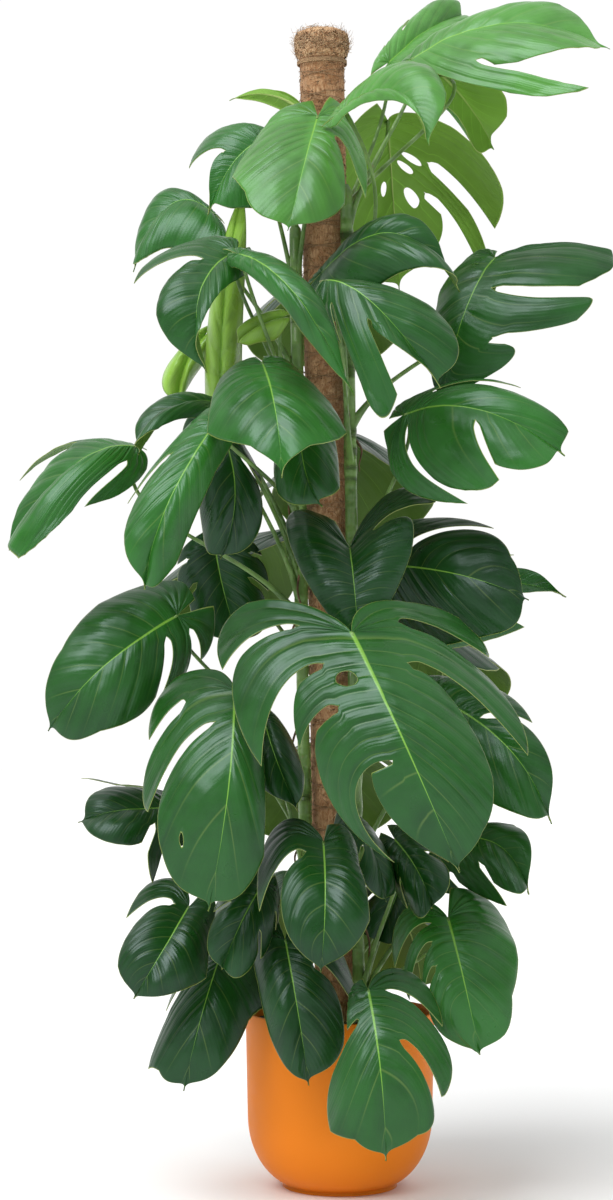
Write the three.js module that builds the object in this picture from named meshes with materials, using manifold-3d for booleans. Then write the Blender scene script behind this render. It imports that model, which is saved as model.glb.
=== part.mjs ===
// Potted swiss cheese plant: three Monstera deliciosa climb a coir pole that stands in a round pot.
// Millimetres, +Z up. The origin is the middle of the pot's underside, and the front is at -Y.

import * as THREE from 'three';
import { mergeGeometries, mergeVertices } from 'three/addons/utils/BufferGeometryUtils.js';
import Module from 'manifold-3d';

const wasm = await Module();
wasm.setup();

// Pot: a straight side above a round lower edge, which is a quarter of an ellipse
const POT_HEIGHT = 235;
const POT_RIM_RADIUS = 127;
const POT_FOOT_RADIUS = 74;
const POT_FOOT_HEIGHT = 5;
const POT_EDGE_CENTRE = 52;
const POT_EDGE_WIDTH = 72;
const POT_EDGE_HEIGHT = 95;
const POT_WALL = 4;
const POT_SIDES = 28;

// Potting mix
const SOIL_TOP = 218;
const SOIL_CROWN = 6;

// Coir pole, which leans a little to the left as it rises
const POLE_TOP = 1555;
const POLE_FOOT = 24;
const POLE_LEAN = 25 / POLE_TOP;
const SLEEVE_RADIUS = 31;
const SLEEVE_BORE = 12;
const STAKE_RADIUS = 11.5;
const CAP_RADIUS = 37.5;
const CAP_HEIGHT = 36;
const TWINE_THICKNESS = 2.4;
const TWINE_TURNS = 3;
const POLE_SIDES = 18;

// Stems stand round the pole, at these angles from +X seen from above
const STEM_ANGLES = { left: 205, right: 312, back: 92 };
const STEM_TOPS = { left: 1290, right: 1340, back: 1330 };
const STEM_RADIUS = 9.5;
const STEM_SIDES = 6;
const STEM_STEPS = 14;
const STEM_FOOT = 110;
const STEM_CLEARANCE = 3;

// Leaf stalks
const STALK_RADIUS = 3;
const STALK_SIDES = 5;
const STALK_STEPS = 4;
const STALK_RISE = 230;
const STALK_TO_BLADE = 4;
const STALK_BEND = 40;

// Leaf blades
const BLADE_THICKNESS = 0.9;
const VEIN_BOW = 0.035;
const NOTCH = 0.006;
const SLIT_WIDTH = 0.055;
const WIDEST = 0.22;
const TIP_DRAWN = 0.07;
const CROWN = 10;
const CURL = 12;
const LOBE_LIFT = 5;
const LEVELS = [0, 0.36, 0.7, 1];

// Clear space between pieces that touch
const GAP = 0.3;

// The leaves are placed as the plant is seen from the front, from this eye point. Each of their points
// is [x, z, y]: x and z are read in the upright plane through the pole, and y is the true depth.
const EYE = new THREE.Vector3(-45, -3750, 786);

function seen([x, z, y]) {
  const point = new THREE.Vector3(x, 0, z).sub(EYE);
  return point.multiplyScalar((y - EYE.y) / -EYE.y).add(EYE);
}

// Lobes of a half blade, from the notch at the stalk to the tip: [end, slit, from, to, gap, mouth, sweep].
// end: where it ends along the margin (0 at the notch, 1 at the tip).
// slit: where the slit at that end starts between the midrib (0) and the margin (1).
// from, to: how far out its two sides reach, as a share of the heart shape (alike if one is given).
// gap: how wide the slit is beside the usual. mouth: what share of that is open at the margin.
// sweep: how far along the margin the lobe leans towards the tip as it runs out.
const WHOLE = [[0.3, 1, 1], [0.62, 1, 1], [1, 1, 1]];
const NOTCHED = [[0.28, 0.7, 1], [0.5, 0.6, 1], [1, 1, 1]];
const FEW = [[0.22, 0.6, 1], [0.42, 0.45, 1], [1, 1, 1]];

// Leaf colours, from the fresh growth at the top to the old leaves at the bottom
const YOUNG = 0x9cc052;
const FRESH = 0x6fa84e;
const MIDDLE = 0x3f8048;
const DEEP = 0x2c6038;
const DARK = 0x20492b;

// Every leaf: the plant it grows on, its colour, the points that it passes through, and its lobes.
// left and right are its widest points, as seen facing its upper side with the tip hanging down.
const LEAVES = [
  {
    name: 'leaf_crown_right', stem: 'right', color: FRESH,
    left: [
      [0.3, 0.24, 0.3, 0.4], [0.42, 0.5, 1.1, 1.2, 0.8, 0.6, 0.07], [0.7, 1, 0.72, 0.82, 1, 0.6, 0.08],
      [1, 1, 0.82, 0.9],
    ],
    right: [[0.3, 1, 0.5], [0.42, 1, 0.5, 0.54], [0.7, 1, 0.54, 0.78], [1, 1, 0.78, 0.75]],
    points: [[94, 1512, -26], [225, 1561, -39], [363, 1526, -46], [262, 1478, -136], [205, 1589, 54]],
  },
  {
    name: 'leaf_crown_back', stem: 'back', color: FRESH, left: FEW, right: FEW,
    points: [[66, 1508, 100], [120, 1554, 180], [165, 1570, 250], [134, 1518, 120], [98, 1578, 210]],
    rise: 320, bend: 80,
  },
  {
    name: 'leaf_crown_middle', stem: 'right', color: FRESH,
    left: [[0.3, 1, 0.5], [0.5, 1, 0.5, 0.75], [0.74, 1, 0.75, 0.95], [1, 1, 0.95, 0.9]],
    right: [[0.3, 1, 0.92], [0.5, 1, 0.92, 0.9], [0.74, 1, 0.9, 1.2], [1, 1, 1.2, 1]],
    points: [[4, 1444, -136], [75, 1470, -209], [120, 1397, -256], [47, 1447, -226], [87, 1515, -146]],
    rise: 320, bend: 120,
  },
  {
    name: 'leaf_crown_left', stem: 'left', color: FRESH,
    left: [[0.2, 1, 0.72, 0.66], [0.48, 1, 0.66, 0.84], [0.63, 1, 0.84, 0.74], [1, 1, 0.74, 0.85]],
    right: [
      [0.2, 1, 0.93, 0.98], [0.38, 0.47, 0.98, 1.33, 1, 0.6, 0.05], [0.56, 1, 0.6, 1.02],
      [1, 1, 1.02, 0.86],
    ],
    points: [[-30, 1437, -70], [-50, 1364, -150], [-70, 1282, -190], [-165, 1360, -120], [22, 1364, -120]],
  },
  {
    name: 'leaf_crown_left_behind', stem: 'left', color: MIDDLE,
    left: [[0.3, 1, 1, 1], [0.62, 0.3, 1, 1.04, 1.5, 0.5, 0.07], [1, 1, 0.45, 0.5, 1, 0.6, 0.03]],
    right: [[0.3, 1, 1], [0.62, 1, 1, 0.8], [1, 1, 0.8, 0.5]],
    points: [[-105, 1405, -20], [-145, 1371, -30], [-177, 1304, -40], [-184, 1416, 20], [-121, 1310, -60]],
  },
  {
    name: 'leaf_crown_far_left', stem: 'back', color: FRESH,
    left: [[0.3, 1, 0.5], [0.62, 1, 0.5, 0.6], [1, 1, 0.6, 0.8]],
    right: [[0.3, 1, 0.35], [0.62, 1, 0.35, 0.4], [1, 1, 0.4, 0.6]],
    points: [[-50, 1442, 60], [-97, 1465, 95], [-148, 1457, 130], [-86, 1437, 80], [-74, 1490, 105]],
  },
  {
    name: 'leaf_crown_turned', stem: 'back', color: FRESH,
    left: [
      [0.5, 0.38, 1, 1.04, 2, 0.5, 0.07], [0.63, 0.4, 0.945, 1.3, 1.5, 0.5, 0.07],
      [1, 1, 0.72, 0.8, 1, 0.6, 0.03],
    ],
    right: [[0.5, 1, 1], [0.63, 1, 1], [1, 1, 1]],
    points: [[64, 1431, 162], [70, 1340, 232], [80, 1200, 222], [215, 1330, 232], [-13, 1330, 192]],
  },
  {
    name: 'leaf_crown_far_right', stem: 'back', color: FRESH,
    left: [[0.3, 1, 1], [0.6, 1, 1, 0.9], [1, 1, 0.9, 0.4]],
    right: WHOLE,
    points: [[133, 1493, 34], [172, 1451, 47], [207, 1391, 24], [215, 1461, 84], [140, 1436, 14]],
    bend: 120,
  },
  {
    name: 'leaf_young_spear', stem: 'left', color: YOUNG, left: WHOLE, right: WHOLE,
    points: [[-159, 1055, -30], [-155, 1196, -40], [-128, 1348, -30], [-132, 1100, -20], [-182, 1100, -20]],
    bend: 80,
  },
  {
    name: 'leaf_young_flap', stem: 'left', color: YOUNG, left: WHOLE, right: WHOLE,
    points: [[-181, 1142, 10], [-208, 1102, 0], [-218, 1051, 0], [-229, 1112, 5], [-184, 1106, 5]],
    bend: 80,
  },
  {
    name: 'leaf_young_small', stem: 'left', color: YOUNG, left: WHOLE, right: WHOLE,
    points: [
      [-77, 1165, -100], [-105, 1156, -110], [-138, 1132, -115],
      [-105, 1173, -90], [-101, 1138, -120],
    ],
  },
  {
    name: 'leaf_upper_left', stem: 'left', color: DEEP,
    left: [[0.47, 0.2, 0.7, 0.988, 1.5, 0.5, 0.07], [0.7, 1, 0.405, 0.75, 1, 0.6, 0.03], [1, 1, 0.75, 0.9]],
    right: [[0.47, 1, 0.5], [0.7, 1, 0.5, 0.55], [1, 1, 0.55, 0.5]],
    points: [
      [-141, 1254, -120], [-190, 1193, -190], [-179, 1091, -200], [-273, 1240, -130], [-150, 1158, -230],
    ],
  },
  {
    name: 'leaf_upper_hanging', stem: 'left', color: MIDDLE,
    left: [[0.3, 1, 0.4, 0.5], [0.62, 1, 0.5, 0.9], [1, 1, 0.9, 1]],
    right: [[0.3, 1, 0.9], [0.62, 1, 0.9, 0.75], [1, 1, 0.75, 0.6]],
    points: [
      [-135, 1250, -188], [-60, 1196, -268], [20, 1060, -288],
      [-105, 1189, -238], [-54, 1230, -198],
    ],
    bend: 80,
  },
  {
    name: 'leaf_upper_far_left', stem: 'left', color: MIDDLE,
    left: [[0.3, 1, 0.5], [0.62, 1, 0.5, 0.6], [1, 1, 0.6, 1]],
    right: [[0.3, 1, 0.4, 0.8], [0.62, 1, 0.8, 1], [1, 1, 1]],
    points: [[-168, 1304, 0], [-228, 1317, 20], [-278, 1227, 0], [-235, 1340, 80], [-215, 1257, -40]],
  },
  {
    name: 'leaf_upper_arched', stem: 'right', color: DEEP,
    left: [[0.3, 1, 1], [0.62, 1, 1], [1, 1, 1]],
    right: [[0.3, 1, 0.85, 0.75], [0.62, 1, 0.75, 0.65], [1, 1, 0.65, 0.6]],
    points: [[-24, 1227, -82], [75, 1278, -149], [161, 1200, -152], [54, 1220, -182], [65, 1305, -102]],
  },
  {
    name: 'leaf_upper_right', stem: 'right', color: DEEP,
    left: [[0.38, 0.3, 0.5, 0.7, 1, 0.6, 0.04], [0.62, 0.35, 1.38, 1, 1.2, 0.6, 0.04], [1, 1, 0.5, 0.55]],
    right: [[0.4, 1, 0.8], [0.62, 1, 0.8, 0.94], [1, 1, 0.94, 1]],
    points: [[-20, 1216, -194], [47, 1183, -247], [136, 1071, -254], [20, 1085, -274], [121, 1190, -204]],
  },
  {
    name: 'leaf_upper_far_right', stem: 'right', color: DEEP,
    left: [
      [0.2, 1, 0.5, 1], [0.6, 1, 1, 0.7], [0.74, 1, 0.7, 0.6], [0.87, 1, 0.6, 0.85], [1, 1, 0.85, 0.9],
    ],
    right: [
      [0.16, 1, 0.3, 1.1], [0.62, 0.2, 1.1, 0.87, 1.5, 0.8, -0.15],
      [0.8, 0.55, 1.05, 1.08, 1.2, 0.7, -0.16], [0.92, 1, 0.84, 0.9, 1, 0.6, -0.16], [1, 1, 0.9, 0.88],
    ],
    points: [[208, 1246, 0], [169, 1176, -50], [134, 1042, -60], [120, 1200, 30], [360, 1227, -60]],
    bend: 80,
  },
  {
    name: 'leaf_middle_right', stem: 'right', color: MIDDLE,
    left: [
      [0.1, 1, 0.65, 0.8], [0.25, 0.17, 0.85, 1.08, 1.4, 0.4, 0.17], [0.36, 1, 0.93, 0.95, 1, 0.6, 0.15],
      [0.56, 0.2, 0.95, 0.9, 1.5, 0.15, 0.03], [1, 1, 0.86, 0.91, 1, 0.6, 0.05],
    ],
    right: [
      [0.1, 1, 0.5, 0.8], [0.42, 0.45, 0.85, 1.1, 1.8, 0.3, 0.15], [0.55, 1, 0.88, 1, 1, 0.6, 0.17],
      [0.82, 1, 1, 1.15], [1, 1, 1.15, 1],
    ],
    points: [[86, 1035, -98], [188, 1042, -148], [302, 979, -158], [160, 927, -178], [175, 1087, -88]],
  },
  {
    name: 'leaf_middle_bright', stem: 'left', color: MIDDLE,
    left: [[0.3, 1, 0.35, 0.6], [0.5, 1, 0.6, 1], [0.75, 1, 1, 0.7], [1, 1, 0.7, 0.6]],
    right: [[0.3, 1, 0.4, 0.62], [0.5, 1, 0.62, 1], [0.75, 1, 1, 0.7], [1, 1, 0.7, 0.6]],
    points: [[-105, 1106, -150], [-87, 1042, -250], [-78, 950, -290], [-188, 1039, -200], [7, 1039, -210]],
  },
  {
    name: 'leaf_middle_lobe', stem: 'left', color: DEEP,
    left: [[0.3, 1, 0.5, 0.6], [0.55, 1, 0.6, 0.8], [1, 1, 0.8, 1]],
    right: [[0.3, 1, 0.4, 0.45], [0.55, 1, 0.45, 0.9], [1, 1, 0.9, 1]],
    points: [
      [-148, 1044, -80], [-215, 1048, -130], [-271, 981, -150],
      [-215, 1060, -60], [-222, 1015, -170],
    ],
    bend: 15,
  },
  {
    name: 'leaf_middle_grey', stem: 'left', color: MIDDLE,
    left: [[0.43, 0.45, 0.6, 0.936, 1, 0.5, 0.07], [0.7, 1, 0.81, 0.75, 1, 0.6, 0.03], [1, 1, 0.75, 0.7]],
    right: [[0.35, 1, 0.6, 0.8], [0.6, 1, 0.8, 1.15], [1, 1, 1.15, 1]],
    points: [
      [-168, 1022, -198], [-235, 907, -268], [-262, 801, -258], [-285, 934, -218], [-181, 921, -238],
    ],
    rise: 110, bend: 15,
  },
  {
    name: 'leaf_middle_drooping', stem: 'left', color: MIDDLE,
    left: [
      [0.3, 1, 0.6, 0.62], [0.55, 0.45, 0.62, 1.1, 1, 0.5, 0.07], [0.75, 1, 0.55, 0.6, 1, 0.6, 0.08],
      [1, 1, 0.6, 0.9],
    ],
    right: [
      [0.34, 0.38, 0.8, 1.03, 1.5, 0.7, 0.07], [0.5, 1, 1.25, 1.3, 1, 0.6, 0.07],
      [0.78, 1, 1.3, 1, 1, 0.6, 0.03], [1, 1, 1, 0.85],
    ],
    points: [[-274, 992, -60], [-356, 968, -100], [-449, 852, -70], [-376, 995, 30], [-351, 919, -140]],
    bend: 80,
  },
  {
    name: 'leaf_middle_hanging', stem: 'left', color: DARK, left: FEW, right: FEW,
    points: [[-159, 1015, -90], [-141, 927, -120], [-161, 841, -110], [-202, 934, -90], [-105, 941, -110]],
  },
  {
    name: 'leaf_middle_curled', stem: 'left', color: DEEP,
    left: [[0.3, 1, 1], [0.5, 1, 1], [1, 1, 1, 0.7]],
    right: [[0.3, 1, 1], [0.5, 1, 1], [1, 1, 1, 0.4]],
    points: [[-54, 1028, -118], [-47, 961, -158], [-24, 911, -168], [-89, 954, -148], [-1, 961, -148]],
  },
  {
    name: 'leaf_middle_inner', stem: 'back', color: DARK, left: NOTCHED, right: NOTCHED,
    points: [[-168, 860, 40], [-156, 797, 40], [-134, 726, 20], [-218, 800, 40], [-94, 813, 50]],
  },
  {
    name: 'leaf_heart_left', stem: 'left', color: DEEP,
    left: [[0.22, 1, 0.55, 0.73], [0.44, 1, 0.73, 0.87], [0.65, 1, 0.86, 0.82], [1, 1, 0.82, 1]],
    right: [
      [0.22, 0.3, 0.95, 0.86, 1.2, 0.9], [0.37, 0.21, 0.84, 0.95, 1.6, 0.3, 0.03],
      [0.6, 1, 1, 0.87, 1, 0.6, 0.03], [1, 1, 0.87, 0.95],
    ],
    points: [[-219, 765, -60], [-319, 695, -120], [-392, 610, -110], [-329, 793, -50], [-255, 632, -110]],
  },
  {
    name: 'leaf_lower_left', stem: 'left', color: DEEP,
    left: [
      [0.28, 0.55, 1.07, 0.97, 1.6, 0.5, 0.07], [0.45, 0.22, 1.04, 0.98, 1.3, 0.5, 0.12],
      [0.6, 1, 0.85, 0.9, 1, 0.6, 0.1], [1, 1, 0.9, 1],
    ],
    right: [[0.28, 1, 0.5, 0.55], [0.45, 1, 0.55, 0.75], [0.6, 1, 0.75, 1.02], [1, 1, 1.02, 1]],
    points: [[-141, 665, -172], [-150, 531, -262], [-177, 368, -242], [-269, 558, -192], [-87, 535, -222]],
    bend: 80,
  },
  {
    name: 'leaf_large_middle', stem: 'right', color: DEEP,
    left: [
      [0.26, 0.35, 0.9, 0.95, 1, 0.4, 0.11], [0.45, 0.3, 0.92, 1.08, 1, 0.4, 0.11],
      [0.53, 0.35, 0.6, 0.78, 1, 0.4, 0.12], [0.68, 0.18, 0.7, 1.17, 1.2, 0.3, 0.13],
      [1, 1, 0.5, 1, 1, 0.6, 0.04],
    ],
    right: [
      [0.18, 0.45, 1.35, 1.15, 1.5, 0.6, 0.06], [0.4, 0.3, 1, 0.98, 1.5, 0.5, 0.16],
      [0.62, 1, 0.5, 0.72, 1, 0.6, 0.1], [0.8, 1, 0.72, 0.8, 1, 0.6, 0.04], [1, 1, 0.8, 1],
    ],
    points: [[16, 742, -268], [90, 588, -368], [161, 420, -358], [-157, 655, -268], [245, 634, -278]],
  },
  {
    name: 'leaf_dark_middle', stem: 'right', color: DARK,
    left: [[0.35, 1, 1.2, 1.05], [0.6, 1, 1.05, 1], [1, 1, 1, 0.8]],
    right: [[0.38, 0.3, 1.3, 1.1, 1.4, 0.6, 0.02], [0.6, 1, 0.8, 0.85, 1, 0.6, 0.02], [1, 1, 0.85, 0.8]],
    points: [[13, 856, -128], [20, 795, -175], [27, 706, -178], [-69, 878, -118], [121, 915, -118]],
  },
  {
    name: 'leaf_dark_right', stem: 'right', color: DARK,
    left: [[0.27, 1, 1], [0.5, 1, 0.9, 0.88], [0.64, 1, 0.88, 0.85], [1, 1, 0.85, 0.9]],
    right: [
      [0.2, 1, 0.35, 0.75], [0.4, 0.12, 0.8, 1.04, 1.6, 0.3, 0.2], [0.6, 1, 0.98, 0.9, 1, 0.6, 0.2],
      [1, 1, 0.9, 1],
    ],
    points: [[54, 833, -24], [161, 820, -104], [254, 786, -114], [148, 719, -84], [141, 905, -34]],
    rise: 320, bend: 80,
  },
  {
    name: 'leaf_back_right', stem: 'back', color: MIDDLE,
    left: [[0.3, 1, 1, 1], [0.5, 0.2, 1, 1.04, 1, 0.5, 0.07], [1, 1, 0.378, 0.6, 1, 0.6, 0.03]],
    right: [[0.3, 1, 1, 1], [0.5, 0.2, 0.9, 0.936, 1, 0.5, 0.07], [1, 1, 0.378, 0.6, 1, 0.6, 0.03]],
    points: [[121, 786, 60], [220, 810, 100], [304, 790, 90], [200, 740, 60], [200, 850, 140]],
  },
  {
    name: 'leaf_lower_right', stem: 'right', color: DEEP,
    left: [[0.27, 1, 1], [0.53, 1, 1, 0.95], [1, 1, 0.95, 0.75]],
    right: [[0.27, 1, 0.95, 0.95], [0.53, 0.1, 0.95, 0.78, 2, 0.5, 0.07], [1, 1, 0.72, 0.72, 1, 0.6, 0.03]],
    points: [[134, 652, -70], [228, 585, -130], [284, 485, -140], [175, 530, -120], [250, 652, -80]],
  },
  {
    name: 'leaf_lower_right_small', stem: 'right', color: DEEP,
    left: [
      [0.28, 0.7, 1, 1.04, 1, 0.5, 0.07], [0.5, 0.6, 0.99, 1.144, 1, 0.5, 0.07],
      [1, 1, 1.008, 0.9, 1, 0.6, 0.03],
    ],
    right: [[0.28, 1, 1], [0.5, 1, 1, 0.75], [1, 1, 0.75, 0.6]],
    points: [[148, 464, -30], [215, 455, -90], [254, 390, -130], [181, 397, -110], [242, 490, -60]],
  },
  {
    name: 'leaf_bottom_right', stem: 'right', color: MIDDLE,
    left: [
      [0.34, 0.28, 0.75, 0.95, 1, 0.6, 0.13], [0.45, 0.35, 0.9, 0.96, 1, 0.8, 0.18],
      [0.52, 0.4, 0.55, 0.78, 1, 0.5, 0.22], [0.7, 1, 0.95, 1, 1, 0.6, 0.22], [1, 1, 1],
    ],
    right: [
      [0.34, 1, 1, 0.93], [0.45, 1, 0.93], [0.64, 1, 0.92, 0.84], [0.8, 1, 0.84, 0.97],
      [1, 1, 0.97, 0.93],
    ],
    points: [[145, 359, -134], [168, 269, -197], [188, 175, -184], [65, 296, -164], [245, 316, -154]],
  },
  {
    name: 'leaf_bottom_middle', stem: 'right', color: DEEP,
    left: [
      [0.3, 1, 0.35], [0.45, 0.24, 0.4, 0.45, 1.2, 1], [0.6, 1, 0.95, 1.05], [0.74, 1, 1.05, 0.86],
      [1, 1, 0.86, 0.84],
    ],
    right: [
      [0.3, 0.22, 0.95, 0.88, 1.2, 0.3, 0.09], [0.4, 1, 0.93, 0.92, 1, 0.6, 0.15],
      [0.5, 0.3, 0.92, 0.88, 1.5, 1, 0.22], [0.65, 1, 0.95, 0.87, 1, 0.6, 0.2], [1, 1, 0.87, 0.92],
    ],
    points: [[38, 261, -248], [55, 148, -308], [62, 32, -298], [-30, 148, -268], [160, 182, -258]],
  },
  {
    name: 'leaf_bottom_front', stem: 'left', color: DARK,
    left: [[0.4, 1, 1, 0.93], [0.6, 1, 0.93, 1], [1, 1, 1]],
    right: [[0.4, 0.35, 1, 1, 2, 0.4, 0.1], [0.6, 1, 0.7, 0.82, 1, 0.6, 0.1], [1, 1, 0.82, 0.85]],
    points: [[-74, 329, -150], [-56, 229, -200], [-42, 134, -200], [-112, 265, -170], [27, 249, -170]],
  },
  {
    name: 'leaf_bottom_left', stem: 'left', color: DARK,
    left: [
      [0.38, 0.38, 0.95, 0.86, 2, 0.6, 0.12], [0.5, 1, 0.85, 1.02, 1, 0.6, 0.12], [0.72, 1, 1.02, 0.88],
      [1, 1, 0.88, 0.95],
    ],
    right: [[0.38, 1, 0.97, 0.96], [0.5, 1, 0.96, 0.83], [0.72, 1, 0.8, 0.88], [1, 1, 0.88, 0.95]],
    points: [[-155, 323, -72], [-184, 235, -136], [-210, 126, -152], [-249, 222, -82], [-103, 231, -102]],
  },
  {
    name: 'leaf_bottom_far_left', stem: 'left', color: DARK,
    left: [[0.36, 0.25, 0.95, 0.92, 2.2, 0.5, 0.14], [0.6, 1, 0.7, 0.9, 1, 0.6, 0.18], [1, 1, 0.9, 0.95]],
    right: [[0.34, 1, 0.6, 0.7], [0.5, 1, 0.7, 1.18], [1, 1, 1.18, 0.8]],
    points: [[-203, 374, -106], [-242, 309, -166], [-277, 250, -166], [-294, 368, -116], [-172, 312, -146]],
    rise: 110, bend: 15,
  },
  {
    name: 'leaf_bottom_inner_left', stem: 'left', color: DARK, left: NOTCHED, right: NOTCHED,
    points: [[-105, 403, -146], [-134, 350, -176], [-159, 289, -176], [-165, 383, -156], [-97, 316, -176]],
  },
  {
    name: 'leaf_lower_middle', stem: 'left', color: DARK,
    left: [[0.42, 0.3, 0.85, 1.12, 1.8, 0.5, 0.14], [0.6, 1, 0.75, 0.9, 1, 0.6, 0.2], [1, 1, 0.9, 1]],
    right: [[0.42, 1, 0.6, 0.66], [0.6, 1, 0.66, 0.98], [1, 1, 0.98, 0.95]],
    points: [[-22, 461, -206], [-20, 376, -276], [-26, 285, -286], [-110, 425, -236], [51, 415, -246]],
  },
  {
    name: 'leaf_lower_edge_on', stem: 'right', color: DARK, left: NOTCHED, right: NOTCHED,
    points: [[13, 497, -128], [43, 450, -158], [62, 380, -158], [16, 437, -198], [60, 450, -88]],
    rise: 110, bend: 15,
  },
  {
    name: 'leaf_lower_inner', stem: 'right', color: DARK, left: NOTCHED, right: NOTCHED,
    points: [[87, 423, 42], [71, 376, 4], [50, 324, -13], [27, 390, 17], [105, 363, 12]],
    bend: 15,
  },
  {
    name: 'leaf_lower_inner_right', stem: 'right', color: DARK, left: NOTCHED, right: NOTCHED,
    points: [[74, 464, -90], [105, 421, -147], [124, 371, -170], [78, 383, -130], [137, 450, -120]],
  },
  {
    name: 'leaf_lower_far_left', stem: 'left', color: DARK,
    left: [[0.34, 0.6, 1, 1.4, 1.5, 0.5, 0.05], [0.5, 1, 0.86, 0.8, 1, 0.6, 0.05], [1, 1, 0.8, 0.65]],
    right: [[0.32, 0.5, 1, 0.96, 1, 0.5], [0.46, 0.5, 1.2, 1.6, 1.2, 0.5, -0.04], [1, 1, 0.95, 0.9]],
    points: [[-222, 504, -20], [-289, 504, -60], [-352, 487, -50], [-314, 543, 0], [-261, 448, -90]],
  },
  {
    name: 'leaf_lower_small', stem: 'left', color: DARK,
    left: [[0.3, 1, 0.8, 0.9], [0.5, 1, 0.9, 0.95], [1, 1, 0.95, 0.5]],
    right: [[0.3, 1, 1], [0.5, 1, 1], [1, 1, 1, 0.7]],
    points: [[-101, 622, -150], [-83, 565, -190], [-56, 501, -190], [-126, 558, -170], [-54, 571, -180]],
  },
  {
    name: 'leaf_rear_bottom_left', stem: 'back', color: DARK, left: FEW, right: FEW,
    points: [[-60, 420, 106], [-110, 400, 196], [-140, 310, 246], [0, 350, 206], [-190, 340, 166]],
  },
  {
    name: 'leaf_rear_bottom_right', stem: 'back', color: DARK, left: FEW, right: FEW,
    points: [[50, 380, 74], [90, 350, 157], [110, 260, 184], [190, 330, 144], [0, 300, 174]],
  },
  {
    name: 'leaf_rear_lower', stem: 'back', color: DARK, left: FEW, right: FEW,
    points: [[-20, 600, 106], [-30, 560, 216], [-40, 450, 276], [110, 530, 216], [-150, 530, 216]],
  },
  {
    name: 'leaf_rear_right', stem: 'back', color: DARK, left: FEW, right: FEW,
    points: [[60, 760, 118], [120, 730, 218], [150, 620, 278], [220, 700, 188], [20, 660, 248]],
    rise: 150,
  },
  {
    name: 'leaf_rear_left', stem: 'back', color: DARK, left: NOTCHED, right: NOTCHED,
    points: [[-70, 880, 96], [-130, 850, 196], [-160, 740, 246], [-30, 800, 216], [-240, 820, 156]],
  },
  {
    name: 'leaf_rear_middle', stem: 'back', color: DARK, left: FEW, right: FEW,
    points: [[10, 1010, 106], [20, 980, 216], [20, 860, 276], [140, 930, 226], [-110, 930, 226]],
    rise: 150,
  },
  {
    name: 'leaf_rear_upper', stem: 'back', color: DARK, left: FEW, right: FEW,
    points: [[-20, 1230, 138], [-30, 1200, 238], [-40, 1090, 288], [100, 1150, 248], [-140, 1150, 248]],
  },
];

const UP = new THREE.Vector3(0, 0, 1);

function makeMesh(name, geometry, color, roughness) {
  const material = new THREE.MeshStandardMaterial({ color, roughness, metalness: 0, flatShading: true });
  const mesh = new THREE.Mesh(geometry, material);
  mesh.name = name;
  return mesh;
}

// The same geometry with only its positions, and with each corner held once
function merged(geometry) {
  geometry.deleteAttribute('normal');
  geometry.deleteAttribute('uv');
  return mergeVertices(geometry, 1e-3);
}

function toSolid(geometry) {
  const clean = merged(geometry);
  return new wasm.Manifold(new wasm.Mesh({
    numProp: 3,
    vertProperties: new Float32Array(clean.attributes.position.array),
    triVerts: new Uint32Array(clean.index.array),
  }));
}

function fromSolid(solid) {
  const mesh = solid.getMesh();
  const geometry = new THREE.BufferGeometry();
  geometry.setAttribute('position', new THREE.BufferAttribute(mesh.vertProperties, 3));
  geometry.setIndex(new THREE.BufferAttribute(mesh.triVerts, 1));
  return geometry;
}

// A closed profile of [radius, height] pairs turned round +Z
function turned(profile, sides) {
  const outline = profile.map(([radius, height]) => new THREE.Vector2(radius, height));
  const geometry = new THREE.LatheGeometry(outline, sides);
  geometry.rotateX(Math.PI / 2);
  return geometry;
}

function rod(radius, low, high, sides) {
  return turned([[0, low], [radius, low], [radius, high], [0, high]], sides);
}

// A round rod of constant radius along a curve
function tube(curve, radius, sides, steps) {
  const corners = [];
  for (let i = 0; i < sides; i += 1) {
    const angle = (2 * Math.PI * i) / sides;
    corners.push(new THREE.Vector2(radius * Math.cos(angle), radius * Math.sin(angle)));
  }
  return new THREE.ExtrudeGeometry(new THREE.Shape(corners), {
    extrudePath: curve, steps, bevelEnabled: false,
  });
}

// Radius of the pot's outside at a height
function potRadius(height) {
  const edgeRadius = POT_EDGE_CENTRE + POT_EDGE_WIDTH;
  if (height >= POT_EDGE_HEIGHT) {
    const share = (height - POT_EDGE_HEIGHT) / (POT_HEIGHT - POT_EDGE_HEIGHT);
    return edgeRadius + (POT_RIM_RADIUS - edgeRadius) * share;
  }
  const drop = (POT_EDGE_HEIGHT - height) / POT_EDGE_HEIGHT;
  return POT_EDGE_CENTRE + POT_EDGE_WIDTH * Math.sqrt(1 - drop * drop);
}

// Heights of the rings that shape the pot's side, closer together round the lower edge
const POT_RINGS = [POT_FOOT_HEIGHT, 12, 22, 36, 54, 74, POT_EDGE_HEIGHT];

function makePot() {
  const outside = POT_RINGS.map((height) => [potRadius(height), height]);
  const inside = POT_RINGS.map((height) => [potRadius(height) - POT_WALL, height + POT_WALL]).reverse();
  const profile = [
    [0, 0], [POT_FOOT_RADIUS, 0], ...outside, [POT_RIM_RADIUS, POT_HEIGHT],
    [POT_RIM_RADIUS - POT_WALL, POT_HEIGHT], ...inside, [0, POT_FOOT_HEIGHT + POT_WALL],
  ];
  return makeMesh('pot', merged(turned(profile, POT_SIDES)), 0xe07a26, 0.55);
}

// The pole's own axis leans; a solid made round +Z is leaned with it
function leaned(geometry) {
  const shear = new THREE.Matrix4().makeRotationY(-Math.atan(POLE_LEAN));
  return geometry.applyMatrix4(shear);
}

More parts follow.
